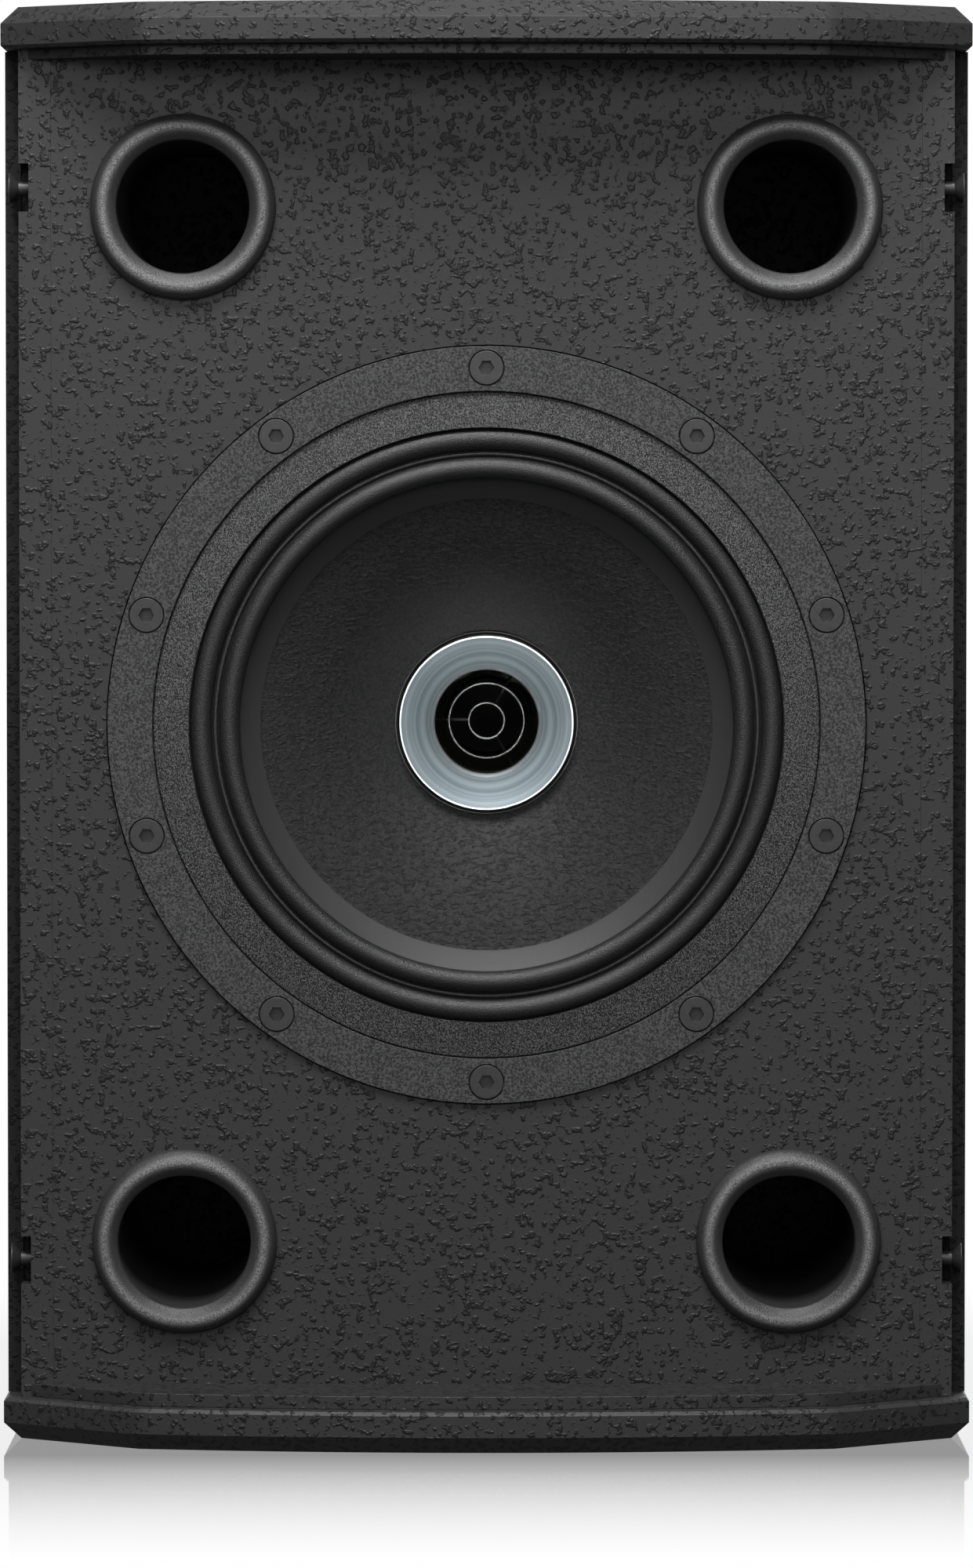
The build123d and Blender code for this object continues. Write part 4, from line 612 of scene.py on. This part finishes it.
def bow(shape, start, through, end, segments):
    """Arc of edges through three (radius, depth) points, made by spinning the first."""
    (ax, ay), (bx, by), (cx, cy) = start, through, end
    d = 2 * (ax * (by - cy) + bx * (cy - ay) + cx * (ay - by))
    a, b, c = ax**2 + ay**2, bx**2 + by**2, cx**2 + cy**2
    ux = (a * (by - cy) + b * (cy - ay) + c * (ay - by)) / d
    uy = (a * (cx - bx) + b * (ax - cx) + c * (bx - ax)) / d
    at = [math.atan2(y - uy, x - ux) for x, y in (start, through, end)]
    sweep = (at[2] - at[0]) % math.tau
    if (at[1] - at[0]) % math.tau > sweep:
        sweep -= math.tau
    first = shape.verts.new(driver + Vector((ax, ay, 0)) * mm)
    arc = bmesh.ops.spin(
        shape,
        geom=[first],
        cent=driver + Vector((ux, uy, 0)) * mm,
        axis=(0, 0, 1),
        angle=sweep,
        steps=segments,
    )
    last = next(v for v in arc["geom_last"] if isinstance(v, bmesh.types.BMVert))
    return first, last


def add_corners(shape, points):
    """Corners of a section that holds the driver's axis, from (radius, depth) pairs."""
    return [shape.verts.new(driver + Vector((r, d, 0)) * mm) for r, d in points]


cloth, tree, shader, place = new_finish("doped_cloth", "1a1a1b", 0.45, Specular_IOR_Level=0.5)
threads = grain(tree, place, 0.42, detail=2.0, roughness=0.65)
tint(tree, shader, spread(tree, threads, 0.38, 0.62), "101011", "222223")
relief(tree, shader, threads, 0.19)

section = bmesh.new()
ends = []
for start, through, end in (
    ((84.4, 2.7), (81.2, -0.35), (78.0, 3.0)),
    ((77.6, 3.0), (77.1, 1.8), (76.6, 3.0)),
    ((76.2, 3.0), (73.05, -0.35), (70.1, 2.7)),
):
    ends.append(bow(section, start, through, end, 14))
foot = [(70.1, 3.5), (70.9, 3.5)]
rolls = [(72.95, 0.6), (75.0, 3.5), (79.2, 3.5), (81.25, 0.6), (83.3, 3.5)]
clamped = [(88.5, 3.5), (88.5, 2.7)]
corners = add_corners(section, foot + rolls + clamped)
for start, end in zip(
    [ends[0][1], ends[1][1], ends[2][1]] + corners,
    [ends[1][0], ends[2][0]] + corners + [ends[0][0]],
):
    section.edges.new((start, end))
sectors = 24
for number in range(sectors):
    sector = section.copy()
    bmesh.ops.rotate(
        sector,
        verts=sector.verts,
        cent=driver,
        matrix=Matrix.Rotation(math.tau * number / sectors, 3, "Y"),
    )
    bmesh.ops.spin(
        sector,
        geom=sector.verts[:] + sector.edges[:],
        cent=driver,
        axis=(0, 1, 0),
        angle=math.tau / sectors,
        steps=20,
    )
    bmesh.ops.holes_fill(sector, edges=sector.edges, sides=0)
    bmesh.ops.recalc_face_normals(sector, faces=sector.faces)
    for face in sector.faces:
        face.smooth = len(face.verts) < 5
    piece = add_object("surround_sector_%02d" % (number + 1), sector, cloth)
    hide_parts("surround")
    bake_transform(piece)
section.free()


# ---- Cone: pressed paper pulp, coated black ------------------------------------------
# Its steeper outer band is pressed smooth, and its flare runs down to the voice coil.
paper, tree, shader, place = new_finish("coated_paper", "1c1c1d", 0.62, Specular_IOR_Level=0.25)
pulp = grain(tree, place, 0.9, detail=3.0, roughness=0.6)
stretch = {"Vector": place, "Scale": (0.55, 1, 1.1)}
wisps = add_node(tree, "ShaderNodeMapping", stretch).outputs["Vector"]
fibres = grain(tree, wisps, 1.2, detail=4.0, distortion=0.4, roughness=0.6)
tint(tree, shader, spread(tree, pulp, 0.35, 0.65), "131314", "252526")
under = relief(tree, shader, pulp, 0.22)
relief(tree, shader, spread(tree, fibres, 0.5, 0.66), 0.16, under)
smooth_paper, tree, shader, place = new_finish(
    "pressed_paper", "252526", 0.55, Specular_IOR_Level=0.4
)
relief(tree, shader, grain(tree, place, 1.2, detail=3.0), 0.03)
cone = bmesh.new()
band_start = 64.5
first, last = bow(cone, (band_start, 8.2), (45.175, 14.9), (25.85, 25.0), 40)
inner_first, inner_last = bow(cone, (26.75, 25.45), (45.175, 15.8), (band_start, 9.1), 40)
corners = add_corners(cone, [(25.85, 27.0), (26.75, 27.0), (70.9, 4.7), (70.9, 3.8)])
for start, end in zip(
    (last, corners[0], corners[1], inner_last, corners[2], corners[3]),
    (corners[0], corners[1], inner_first, corners[2], corners[3], first),
):
    cone.edges.new((start, end))


def spin_round(shape, steps):
    """Spins a closed section once round the driver's axis."""
    bmesh.ops.spin(
        shape,
        geom=shape.verts[:] + shape.edges[:],
        cent=driver,
        axis=(0, 1, 0),
        angle=math.tau,
        steps=steps,
        use_merge=True,
    )
    return shape


def off_axis(at):
    """How far a place is from the driver's axis, in millimetres."""
    return math.hypot(at.x, at.z - driver.z) / mm


cone = spin_round(cone, 192)
cone_piece = make_piece("paper_cone", cone, paper, "cone_assembly", "cone", flat=False)
refinish(cone_piece, smooth_paper, lambda at: off_axis(at) > band_start - 0.1)

# A bead of glue closes the neck, where the cone meets the voice coil.
glue, tree, shader, place = new_finish("neck_adhesive", "4e4e4f", 0.4)
relief(tree, shader, grain(tree, place, 0.8), 0.03)
profile = [(26.0, 24.5), (26.15, 24.5), (26.2, 24.8), (26.0, 25.1)]
bead = turned(profile, (0, ring_front, middle), steps=128)
make_piece("neck_glue_bead", bead, glue, "cone_assembly", flat=False)


# ---- Waveguide: aluminium horn, turned and blasted to a satin ------------------------
# It stands inside the voice coil, and faint rings of lighter and darker tone run round its flare.
satin, tree, shader, place = new_finish("turned_waveguide", "747e82", 0.6, Metallic=0.4)
centring = {"Vector": place, "Location": (0, 0, -middle * mm), "Scale": (1, 0, 1)}
centred = add_node(tree, "ShaderNodeMapping", centring).outputs["Vector"]
radius = vector_math(tree, "LENGTH", centred)
settings = {"W": radius, "Scale": 1 / (2.4 * mm), "Detail": 3.0}
flare_rings = add_node(tree, "ShaderNodeTexNoise", settings, noise_dimensions="1D").outputs["Fac"]
tint(tree, shader, spread(tree, flare_rings, 0.3, 0.7), "5f6c71", "848f93")
relief(tree, shader, flare_rings, 0.05)
lip_metal, tree, shader, place = new_finish("bare_throat_lip", "666b6d", 0.5, Metallic=0.4)
relief(tree, shader, grain(tree, place, 0.8), 0.02)
# Painted highlight: the rim's front edge is drawn in near-white metal.
rim_painted_highlight, tree, shader, place = new_finish("horn_rim_painted_highlight", "dde2e3", 0.4, Metallic=0.4)
relief(tree, shader, grain(tree, place, 0.8), 0.01)
# Painted shade: the throat's bore behind the lip is drawn near black.
throat_painted_shade, tree, shader, place = new_finish(
    "painted_shade_in_throat", "030303", 0.8, Specular_IOR_Level=0.1
)
relief(tree, shader, grain(tree, place, 0.8), 0.02)
horn = bmesh.new()
first, last = bow(horn, (24.5, 21.0), (19.9, 25.6), (16.4, 31.2), 40)
lip = [(16.1, 31.6), (15.7, 31.85), (15.3, 32.1), (14.95, 32.8), (15.3, 36.0)]
shell = [(15.3, 47.0), (24.1, 47.0), (24.1, 22.4), (25.0, 21.5), (25.0, 21.0)]
corners = add_corners(horn, lip + shell)
for start, end in zip([last] + corners, corners + [first]):
    horn.edges.new((start, end))
horn = soften(spin_round(horn, 128), 0.08, 2, 40)
horn_piece = make_piece("waveguide_horn", horn, satin, "cabinet", "waveguide", flat=False)
throat_radius, rim_radius = 16.3, 24.4
lip_end = driver.y + 32.5 * mm
rim_end = driver.y + 21.2 * mm
refinish(horn_piece, lip_metal, lambda at: off_axis(at) < throat_radius and at.y < lip_end)
# Painted shade in the deep throat.
refinish(horn_piece, throat_painted_shade, lambda at: off_axis(at) < throat_radius and at.y >= lip_end)
# Painted highlight on the rim's front face.
refinish(horn_piece, rim_painted_highlight, lambda at: off_axis(at) > rim_radius and at.y < rim_end)


# ---- Phase rings: two thin black rings in the waveguide's throat ---------------------
# They are moulded in one piece with the three ribs that carry them, and their front
# edges are drawn paler, as painted highlight.
def spoke(low, high, turn, centre):
    """A board turned about Y by that many degrees, then moved to its centre."""
    shape = board(low, high)
    matrix = Matrix.Rotation(math.radians(turn), 3, "Y")
    bmesh.ops.rotate(shape, verts=shape.verts, cent=(0, 0, 0), matrix=matrix)
    bmesh.ops.translate(shape, vec=Vector(centre) * mm, verts=shape.verts)
    return shape


plastic, tree, shader, place = new_finish(
    "black_phase_plastic", "060606", 0.6, Specular_IOR_Level=0.2
)
relief(tree, shader, grain(tree, place, 0.5), 0.02)
ring_start, ring_end, ring_wall = 41, 60, 0.5
rings = []
for outer in (11.1, 5.4):
    bore = outer - ring_wall
    profile = [(outer, ring_start), (outer, ring_end), (bore, ring_end), (bore, ring_start)]
    rings.append(turned(profile, (0, ring_front, middle), steps=96))
for turn in (60, 180, 300):
    rings.append(spoke((5.0, 51, -0.45), (15.3, ring_end, 0.45), turn, (0, ring_front, middle)))
rings = soften(join(*rings), 0.15, 2, 60)
phase = make_piece("phase_ring_set", rings, plastic, "cabinet", "phase_rings")
# Painted highlight on the front edges of the rings.
painted_edge_highlight, tree, shader, place = new_finish("phase_edge_painted_highlight", "646463", 0.45)
relief(tree, shader, grain(tree, place, 0.5), 0.02)
refinish(phase, painted_edge_highlight, lambda at: at.y < (ring_front + ring_start + 0.25) * mm)


# ---- Grille screws: countersunk M4 screws in the side notches -------------------------
# They hold the grille by its folded edge, and stay in their places while it is off. Each
# goes into a brass insert, sunk behind the notch under the paint.
heads = []
for side in (-1, 1):
    for level in grille_heights:
        face = side * (side_half - 0.9)
        taper = [(0, 0), (4.35, 0), (4.35, -0.3 * side), (2.05, -2.75 * side)]
        shank = [(2.05, -11 * side), (0, -11 * side)]
        head = turned(taper + shank, (face, grille_y, level), "X", 48)
        heads.append(cut(head, hex_tool(2.5, grille_y, 1.5, face, level, side)))
grille_screws = soften(join(*heads), 0.12, 2, 50)
make_piece("grille_fixing_screws", grille_screws, black_steel, "cabinet", "grille_screws")

insert_inner, insert_outer, insert_length = 2.1, 2.9, 4.5
sleeves = []
for side in (-1, 1):
    for level in grille_heights:
        end = -insert_length * side
        profile = [(insert_inner, 0), (insert_inner, end), (insert_outer, end), (insert_outer, 0)]
        sleeves.append(turned(profile, (side * (side_half - 8.2), grille_y, level), "X", 32))
brass, tree, shader, place = new_finish("insert_brass", "b8963f", 0.35, Metallic=1.0)
knurl = grain(tree, place, 1.5, detail=3.0)
tint(tree, shader, knurl, "a8883a", "c2a04c")
relief(tree, shader, knurl, 0.01)
make_piece("grille_insert_sleeves", join(*sleeves), brass, "cabinet", "grille_inserts")


# ---- Input dish: pressed steel tray let into the rear panel ---------------------------
# Pressed in one piece with rounded edges, powder coated black, and bored for the two
# input sockets. Its flange lies on the rear panel.
dish_coat, tree, shader, place = new_finish("dish_powder_coat", "1d1d1e", 0.5)
orange_peel = grain(tree, place, 0.8, detail=2.0)
tint(tree, shader, spread(tree, orange_peel, 0.3, 0.7), "19191a", "232324")
relief(tree, shader, orange_peel, 0.04)
dish_wide, dish_high, dish_deep, sheet = 134, 84, 18.4, 1.6
well_wide, well_high, well_deep, well_corner = 115.5, 65.5, 16.8, 5.75
well_inside = well_wide - 2 * sheet, well_high - 2 * sheet
dish_centre = (0, dish_z)
dish_floor = rear_face - well_deep
tray = cut(
    thick_plate(dish_wide, dish_high, 6, dish_centre, rear_face, sheet),
    thick_plate(well_wide, well_high, well_corner, dish_centre, rear_face - dish_deep, 18.8),
    how="UNION",
)
tray = cut(tray, thick_plate(*well_inside, well_corner - sheet, dish_centre, dish_floor, 30))
bmesh.ops.remove_doubles(tray, verts=tray.verts, dist=weld)


def on_bend(v):
    """Whether a corner of the tray lies on the well's mouth or on its floor's edge."""
    in_width = abs(v.co.x) < (well_inside[0] / 2 + 0.15) * mm
    in_height = abs(v.co.z - dish_z * mm) < (well_inside[1] / 2 + 0.15) * mm
    off_level = min(abs(v.co.y - level * mm) for level in (rear_face + sheet, dish_floor))
    return in_width and in_height and off_level < 5 * weld


steep = math.radians(60)
bends = [
    e
    for e in tray.edges
    if e.is_manifold and e.calc_face_angle(0) > steep and all(on_bend(v) for v in e.verts)
]
bevel(tray, bends, 1.5, 4)
socket_places = (-26.0, 26.0)
holes = [drill(12.6, -30, 10, (x, rear_face - 10, dish_z), steps=64) for x in socket_places]
make_piece("input_tray", cut(tray, *holes), dish_coat, "cabinet", "input_dish")


# ---- Input sockets: two four-pole sockets in the dish ---------------------------------
# Moulded in glass-filled nylon: a flange with a collar, a ring-shaped socket with two
# keyways round a slotted hub, and four solder tabs behind.
def simple_finish(name, dark, light, roughness, size, bump, **sockets):
    """A finish with one grain in its colour and relief, for parts that are seldom seen."""
    finish, tree, shader, place = new_finish(name, light, roughness, **sockets)
    fleck = grain(tree, place, size, detail=3.0)
    tint(tree, shader, spread(tree, fleck, 0.3, 0.7), dark, light)
    relief(tree, shader, fleck, bump)
    return finish


nylon = simple_finish("connector_nylon", "1b1d20", "25272a", 0.45, 0.6, 0.02)
socket_face = dish_floor + 2.6
hub = [(0, -1.3), (6.4, -1.3), (6.4, -17), (11.5, -17), (11.5, 0)]
shell = [(12.9, 0), (12.9, -1.5), (12.4, -1.6), (12.4, -22), (0, -22)]
arcs = [(1, 0.5, 3), (4, 0.3, 3), (5, 0.4, 3)]
keyways = [(11.2, 12.05, 0, 3.2), (11.2, 12.05, 180, 2.2)]
contacts = [(5.4, 6.6, 45 + 90 * k, 1.8) for k in range(4)]
for x, name in zip(socket_places, ("left_input_connector", "right_input_connector")):
    flange = cut(
        thick_plate(26, 31, 2.5, (x, dish_z), dish_floor, 2.1),
        drill(12.2, -5, 5, (x, dish_floor, dish_z), steps=64),
    )
    centre = (x, socket_face, dish_z)
    socket = turned(hub + shell, centre, rounded=arcs)
    for near_r, far_r, turn, wide in keyways + contacts:
        slot = spoke((near_r, -12, -wide / 2), (far_r, 2, wide / 2), turn, centre)
        socket = cut(socket, slot)
    tabs = [spoke((6.0, -30, -2.0), (6.8, -21.9, 2.0), 45 + 90 * k, centre) for k in range(4)]
    moulded = join(soften(flange, 0.4, 3), socket, *tabs)
    make_piece(name + "_moulding", moulded, nylon, "cabinet", name)


# ---- Dish and socket screws: pan heads with a crossed recess ---------------------------
# Black self-tapping screws go through the dish's flange into the rear panel, and small
# plated ones hold the sockets in the dish.
def pan_head(x, y, z, radius, rise, shank, length, slot):
    """Pan-head screw that stands towards the rear from the face at y."""
    dome = [(0, rise), (radius * 0.6, rise), (radius, rise * 0.45), (radius, 0)]
    stem = [(shank, 0), (shank, -length), (0, -length)]
    head = turned(dome + stem, (x, y, z), steps=48, rounded=[(1, 0.4, 3), (2, 0.4, 3)])
    low, high = y + rise * 0.35, y + rise + 1
    cross = [
        board((x - wide / 2, low, z - tall / 2), (x + wide / 2, high, z + tall / 2))
        for wide, tall in ((slot, slot * 4), (slot * 4, slot))
    ]
    return cut(head, *cross)


heads = [
    pan_head(x, rear_face + sheet, dish_z + z, 3.4, 1.9, 1.75, 10, 0.95)
    for x in (-62.5, 62.5)
    for z in (-37.5, 37.5)
]
make_piece("dish_fixing_screws", join(*heads), black_steel, "cabinet", "input_dish_screws")
plated = simple_finish("plated_steel", "a5a498", "bcbbb0", 0.35, 3.0, 0.01, Metallic=1.0)
heads = [
    pan_head(x - side * 9.5, socket_face, dish_z + side * 12, 2.6, 1.4, 1.4, 6, 0.7)
    for x in socket_places
    for side in (-1, 1)
]
make_piece("socket_fixing_screws", join(*heads), plated, "cabinet", "connector_screws")


# ---- Rigging inserts: plated steel, flanged on the inside ------------------------------
# M8 inserts in the sides take a yoke, and M6 inserts in the rear panel take a bracket.
# The two rigging points in the top are closed with button-head screws.
def insert_profile(bore, outer, flange, length, pitch):
    """Profile of an insert inwards from its outer face, with the grooves of its thread."""
    flange_back = -length - 1.5
    profile = [(bore + 0.7, 0), (outer, 0), (outer, -length), (flange, -length)]
    profile += [(flange, flange_back), (bore, flange_back)]
    for turn in range(int(length / pitch), 0, -1):
        crest = -0.5 - turn * pitch
        profile += [(bore, crest), (bore + 0.5 * pitch, crest + 0.5 * pitch)]
    return profile + [(bore, -0.7)]


sleeves = []
for side in (-1, 1):
    profile = [(r, d * side) for r, d in insert_profile(3.4, 6.0, 10.0, 13.0, 1.25)]
    sleeves.append(turned(profile, (side * side_half, rigging_y, middle), "X", 64))
make_piece("yoke_insert_sleeves", join(*sleeves), plated, "cabinet", "side_rigging_inserts")
profile = insert_profile(2.5, 4.5, 8.0, 12.0, 1.0)
sleeves = [turned(profile, (x, rear_face, z), "Y", 48) for x, z in bracket_places]
make_piece("bracket_insert_sleeves", join(*sleeves), plated, "cabinet", "rear_bracket_inserts")

button = [(0, -0.5), (4.2, -0.5), (5.5, -2.0), (5.5, -3.5)]
stem = [(2.5, -3.5), (2.5, -12), (0, -12)]
arcs = [(1, 0.8, 4), (2, 0.8, 4)]
heads = []
for x in top_points:
    head = turned(button + stem, (x, rigging_y, height), "Z", 48, arcs)
    heads.append(cut(head, hex_tool(4.0, rigging_y, 2.9, x, height, "Z")))
make_piece("rigging_point_screws", join(*heads), black_steel, "cabinet", "top_blanking_screws")


# ---- Pole socket: drawn steel cup in the bottom board -----------------------------------
# Powder coated like the dish, with a rolled mouth that a pole goes into from below, and
# held by four countersunk screws.
mouth = [(17.75, 0.5), (38, 0.5), (38, 3.0), (20.35, 3.0)]
tube = [(20.35, 78), (0, 78), (0, 75.4), (17.75, 75.4)]
arcs = [(0, 1.6, 5), (1, 0.8, 4), (4, 1.5, 4)]
cup = turned(mouth + tube, (0, rigging_y, 0), "Z", 128, arcs)
countersink = [(0, -1), (3.8, -1), (3.8, 0.6), (1.95, 2.45), (1.95, 5), (0, 5)]
head_profile = [(0, 0.55), (3.55, 0.55), (1.8, 2.35), (1.8, 9.5), (0, 9.5)]
pole_circle = 30
pole_screws = []
for number in range(4):
    turn = math.radians(45 + 90 * number)
    x, y = pole_circle * math.cos(turn), rigging_y + pole_circle * math.sin(turn)
    cup = cut(cup, turned(countersink, (x, y, 0), "Z", 48))
    cross = [board((x - w, y - d, -1), (x + w, y + d, 1.9)) for w, d in ((0.5, 2.1), (2.1, 0.5))]
    pole_screws.append(cut(turned(head_profile, (x, y, 0), "Z", 48), *cross))
make_piece("pole_socket_cup", cup, dish_coat, "cabinet", "pole_socket")
make_piece("pole_socket_heads", join(*pole_screws), black_steel, "cabinet", "pole_socket_screws")


# ---- Everything else keeps its CAD shape and gets its own finish ----------------------
# Inside the box and behind the driver: motor, crossover, wiring, battens and fixings.
# Hardly any of it is seen from outside, so one plain grain serves each finish.
simple_finish("bare_plywood", "a88a5e", "cbb083", 0.75, 2.5, 0.1)
simple_finish("felt", "3c3c3e", "5a5a5c", 0.95, 0.8, 0.4)
simple_finish("cast_alloy", "7c7d80", "97989b", 0.5, 1.2, 0.08, Metallic=1.0)
simple_finish("ferrite", "2a2a2c", "3a3a3c", 0.7, 0.8, 0.05)
simple_finish("neodymium", "a9a9a6", "bcbcb9", 0.25, 4.0, 0.01, Metallic=1.0)
simple_finish("copper_winding", "8f4a26", "b8653a", 0.35, 0.4, 0.1, Metallic=1.0)
# The voice coil's former is drawn near black: painted shade for the dark gap round the waveguide.
simple_finish("polyimide", "030303", "060605", 0.7, 3.0, 0.01, Specular_IOR_Level=0.1)
simple_finish("titanium_foil", "84858a", "9a9ba0", 0.35, 1.5, 0.01, Metallic=1.0)
simple_finish("circuit_board", "1e5a34", "2a6e42", 0.4, 1.5, 0.02)
simple_finish("film_capacitor", "c09a20", "d0aa30", 0.25, 6.0, 0.01)
simple_finish("cement_resistor", "d8d4c8", "e6e3da", 0.8, 0.7, 0.06)
simple_finish("wire_jacket", "1a1a1a", "262626", 0.45, 1.0, 0.02)


# ---- Studio: backlit sheet, soft boxes and the camera ----------------------------------
# The cabinet stands on a polished opal acrylic sheet that is lit from below, so the sheet
# is white all over and mirrors only what stands close to the place that it is seen at.
floor_finish, tree, shader, place = new_finish("opal_acrylic", "ffffff", 0.1)
mirror_reach, mirror_share = 0.2, 0.7  # metres from the cabinet, and share of the light
outside = vector_math(tree, "ABSOLUTE", place)
outside = vector_math(tree, "SUBTRACT", outside, (width / 2 * mm, -front * mm, 0))
outside = vector_math(tree, "MAXIMUM", outside, (0, 0, 0))
away = vector_math(tree, "LENGTH", outside)
fade = {"Value": away, "From Max": mirror_reach, "To Min": 1.0, "To Max": 0.0}
near = add_node(tree, "ShaderNodeMapRange", fade).outputs["Result"]
near = number_math(tree, "POWER", near, 1.8)
gloss = number_math(tree, "MULTIPLY", near, mirror_share)
glow = add_node(tree, "ShaderNodeEmission").outputs[0]
mirror = add_node(tree, "ShaderNodeBsdfGlossy", {"Roughness": 0.04}).outputs[0]
surface = add_node(tree, "ShaderNodeMixShader", {0: gloss, 1: glow, 2: mirror}).outputs[0]
tree.links.new(surface, tree.nodes["Material Output"].inputs["Surface"])
bpy.ops.mesh.primitive_plane_add(size=24, location=(0, 4, 0))
ground = bpy.context.object
ground.name = "studio_floor"
ground.data.transform(ground.matrix_world)
ground.matrix_world = Matrix()
ground.data.materials.append(floor_finish)
ground.visible_diffuse = False
ground.visible_glossy = False


def hang(lamp, spot, aim):
    """Hangs a lamp at spot, turned to its aim."""
    light = bpy.data.objects.new(lamp.name, lamp)
    light.location = spot
    light.rotation_euler = (Vector(aim) - Vector(spot)).to_track_quat("-Z", "Y").to_euler()
    scene.collection.objects.link(light)
    return light


for name, spot, aim, size, watts in (
    ("key_box", (-0.08, -0.78, 1.38), (0, -0.1, 0.25), (0.8, 0.6), 28),
    ("fill_box", (0, -1.15, 0.66), (0, 0, 0.3), (1.2, 0.4), 4.0),
    ("front_box", (0, -3.2, 0.5), (0, 0, 0.22), (2.6, 2.2), 14),
    ("rear_box", (0.8, 2.4, 1.6), (0, 0, 0.2), (1.8, 1.4), 30),
    ("left_box", (-2.0, 1.3, 0.8), (0, 0.1, 0.2), (1.2, 1.0), 16),
    ("right_box", (2.0, 1.3, 0.8), (0, 0.1, 0.2), (1.2, 1.0), 16),
):
    lamp = bpy.data.lights.new(name, "AREA")
    lamp.shape = "RECTANGLE"
    lamp.size, lamp.size_y = size
    lamp.energy = watts
    hang(lamp, spot, aim)

# A snooted lamp low in front lights the upper side of the waveguide alone.
snoot = bpy.data.lights.new("snoot", "SPOT")
snoot.energy = 29
snoot.spot_size = math.radians(5.3)
snoot.spot_blend = 0.6
snoot.shadow_soft_size = 0.03
hang(snoot, (0, -0.42, 0.03), driver + Vector((0, 0.025, 0.006))).visible_camera = False

# The room is dark above and in front, with a white wall behind the sheet. The camera
# sees that white all round.
world = bpy.data.worlds.new("studio")
scene.world = world
world.use_nodes = True
tree = world.node_tree
background = tree.nodes["Background"]
background.inputs["Color"].default_value = (1, 1, 1, 1)
heading = add_node(tree, "ShaderNodeTexCoord").outputs["Generated"]
rearwards = add_node(tree, "ShaderNodeSeparateXYZ", {0: heading}).outputs["Y"]
rays = add_node(tree, "ShaderNodeLightPath").outputs
wall = number_math(tree, "MULTIPLY", spread(tree, rearwards, 0.7, 0.95), rays["Is Glossy Ray"])
white = number_math(tree, "MAXIMUM", wall, rays["Is Camera Ray"])
dim = {"Value": white, "To Min": 0.12, "To Max": 1.0}
strength = add_node(tree, "ShaderNodeMapRange", dim).outputs["Result"]
tree.links.new(strength, background.inputs["Strength"])
scene.view_settings.view_transform = "Standard"

lens = bpy.data.cameras.new("camera")
lens.sensor_width = 36
lens.lens = 154.35
lens.shift_y = -0.0352
lens.clip_end = 100
camera = bpy.data.objects.new("camera", lens)
camera.location = (0, -2.0, 0.2718)
camera.rotation_euler = (math.radians(90 - 2.078), 0, 0)
scene.collection.objects.link(camera)
scene.camera = camera

bpy.context.view_layer.update()
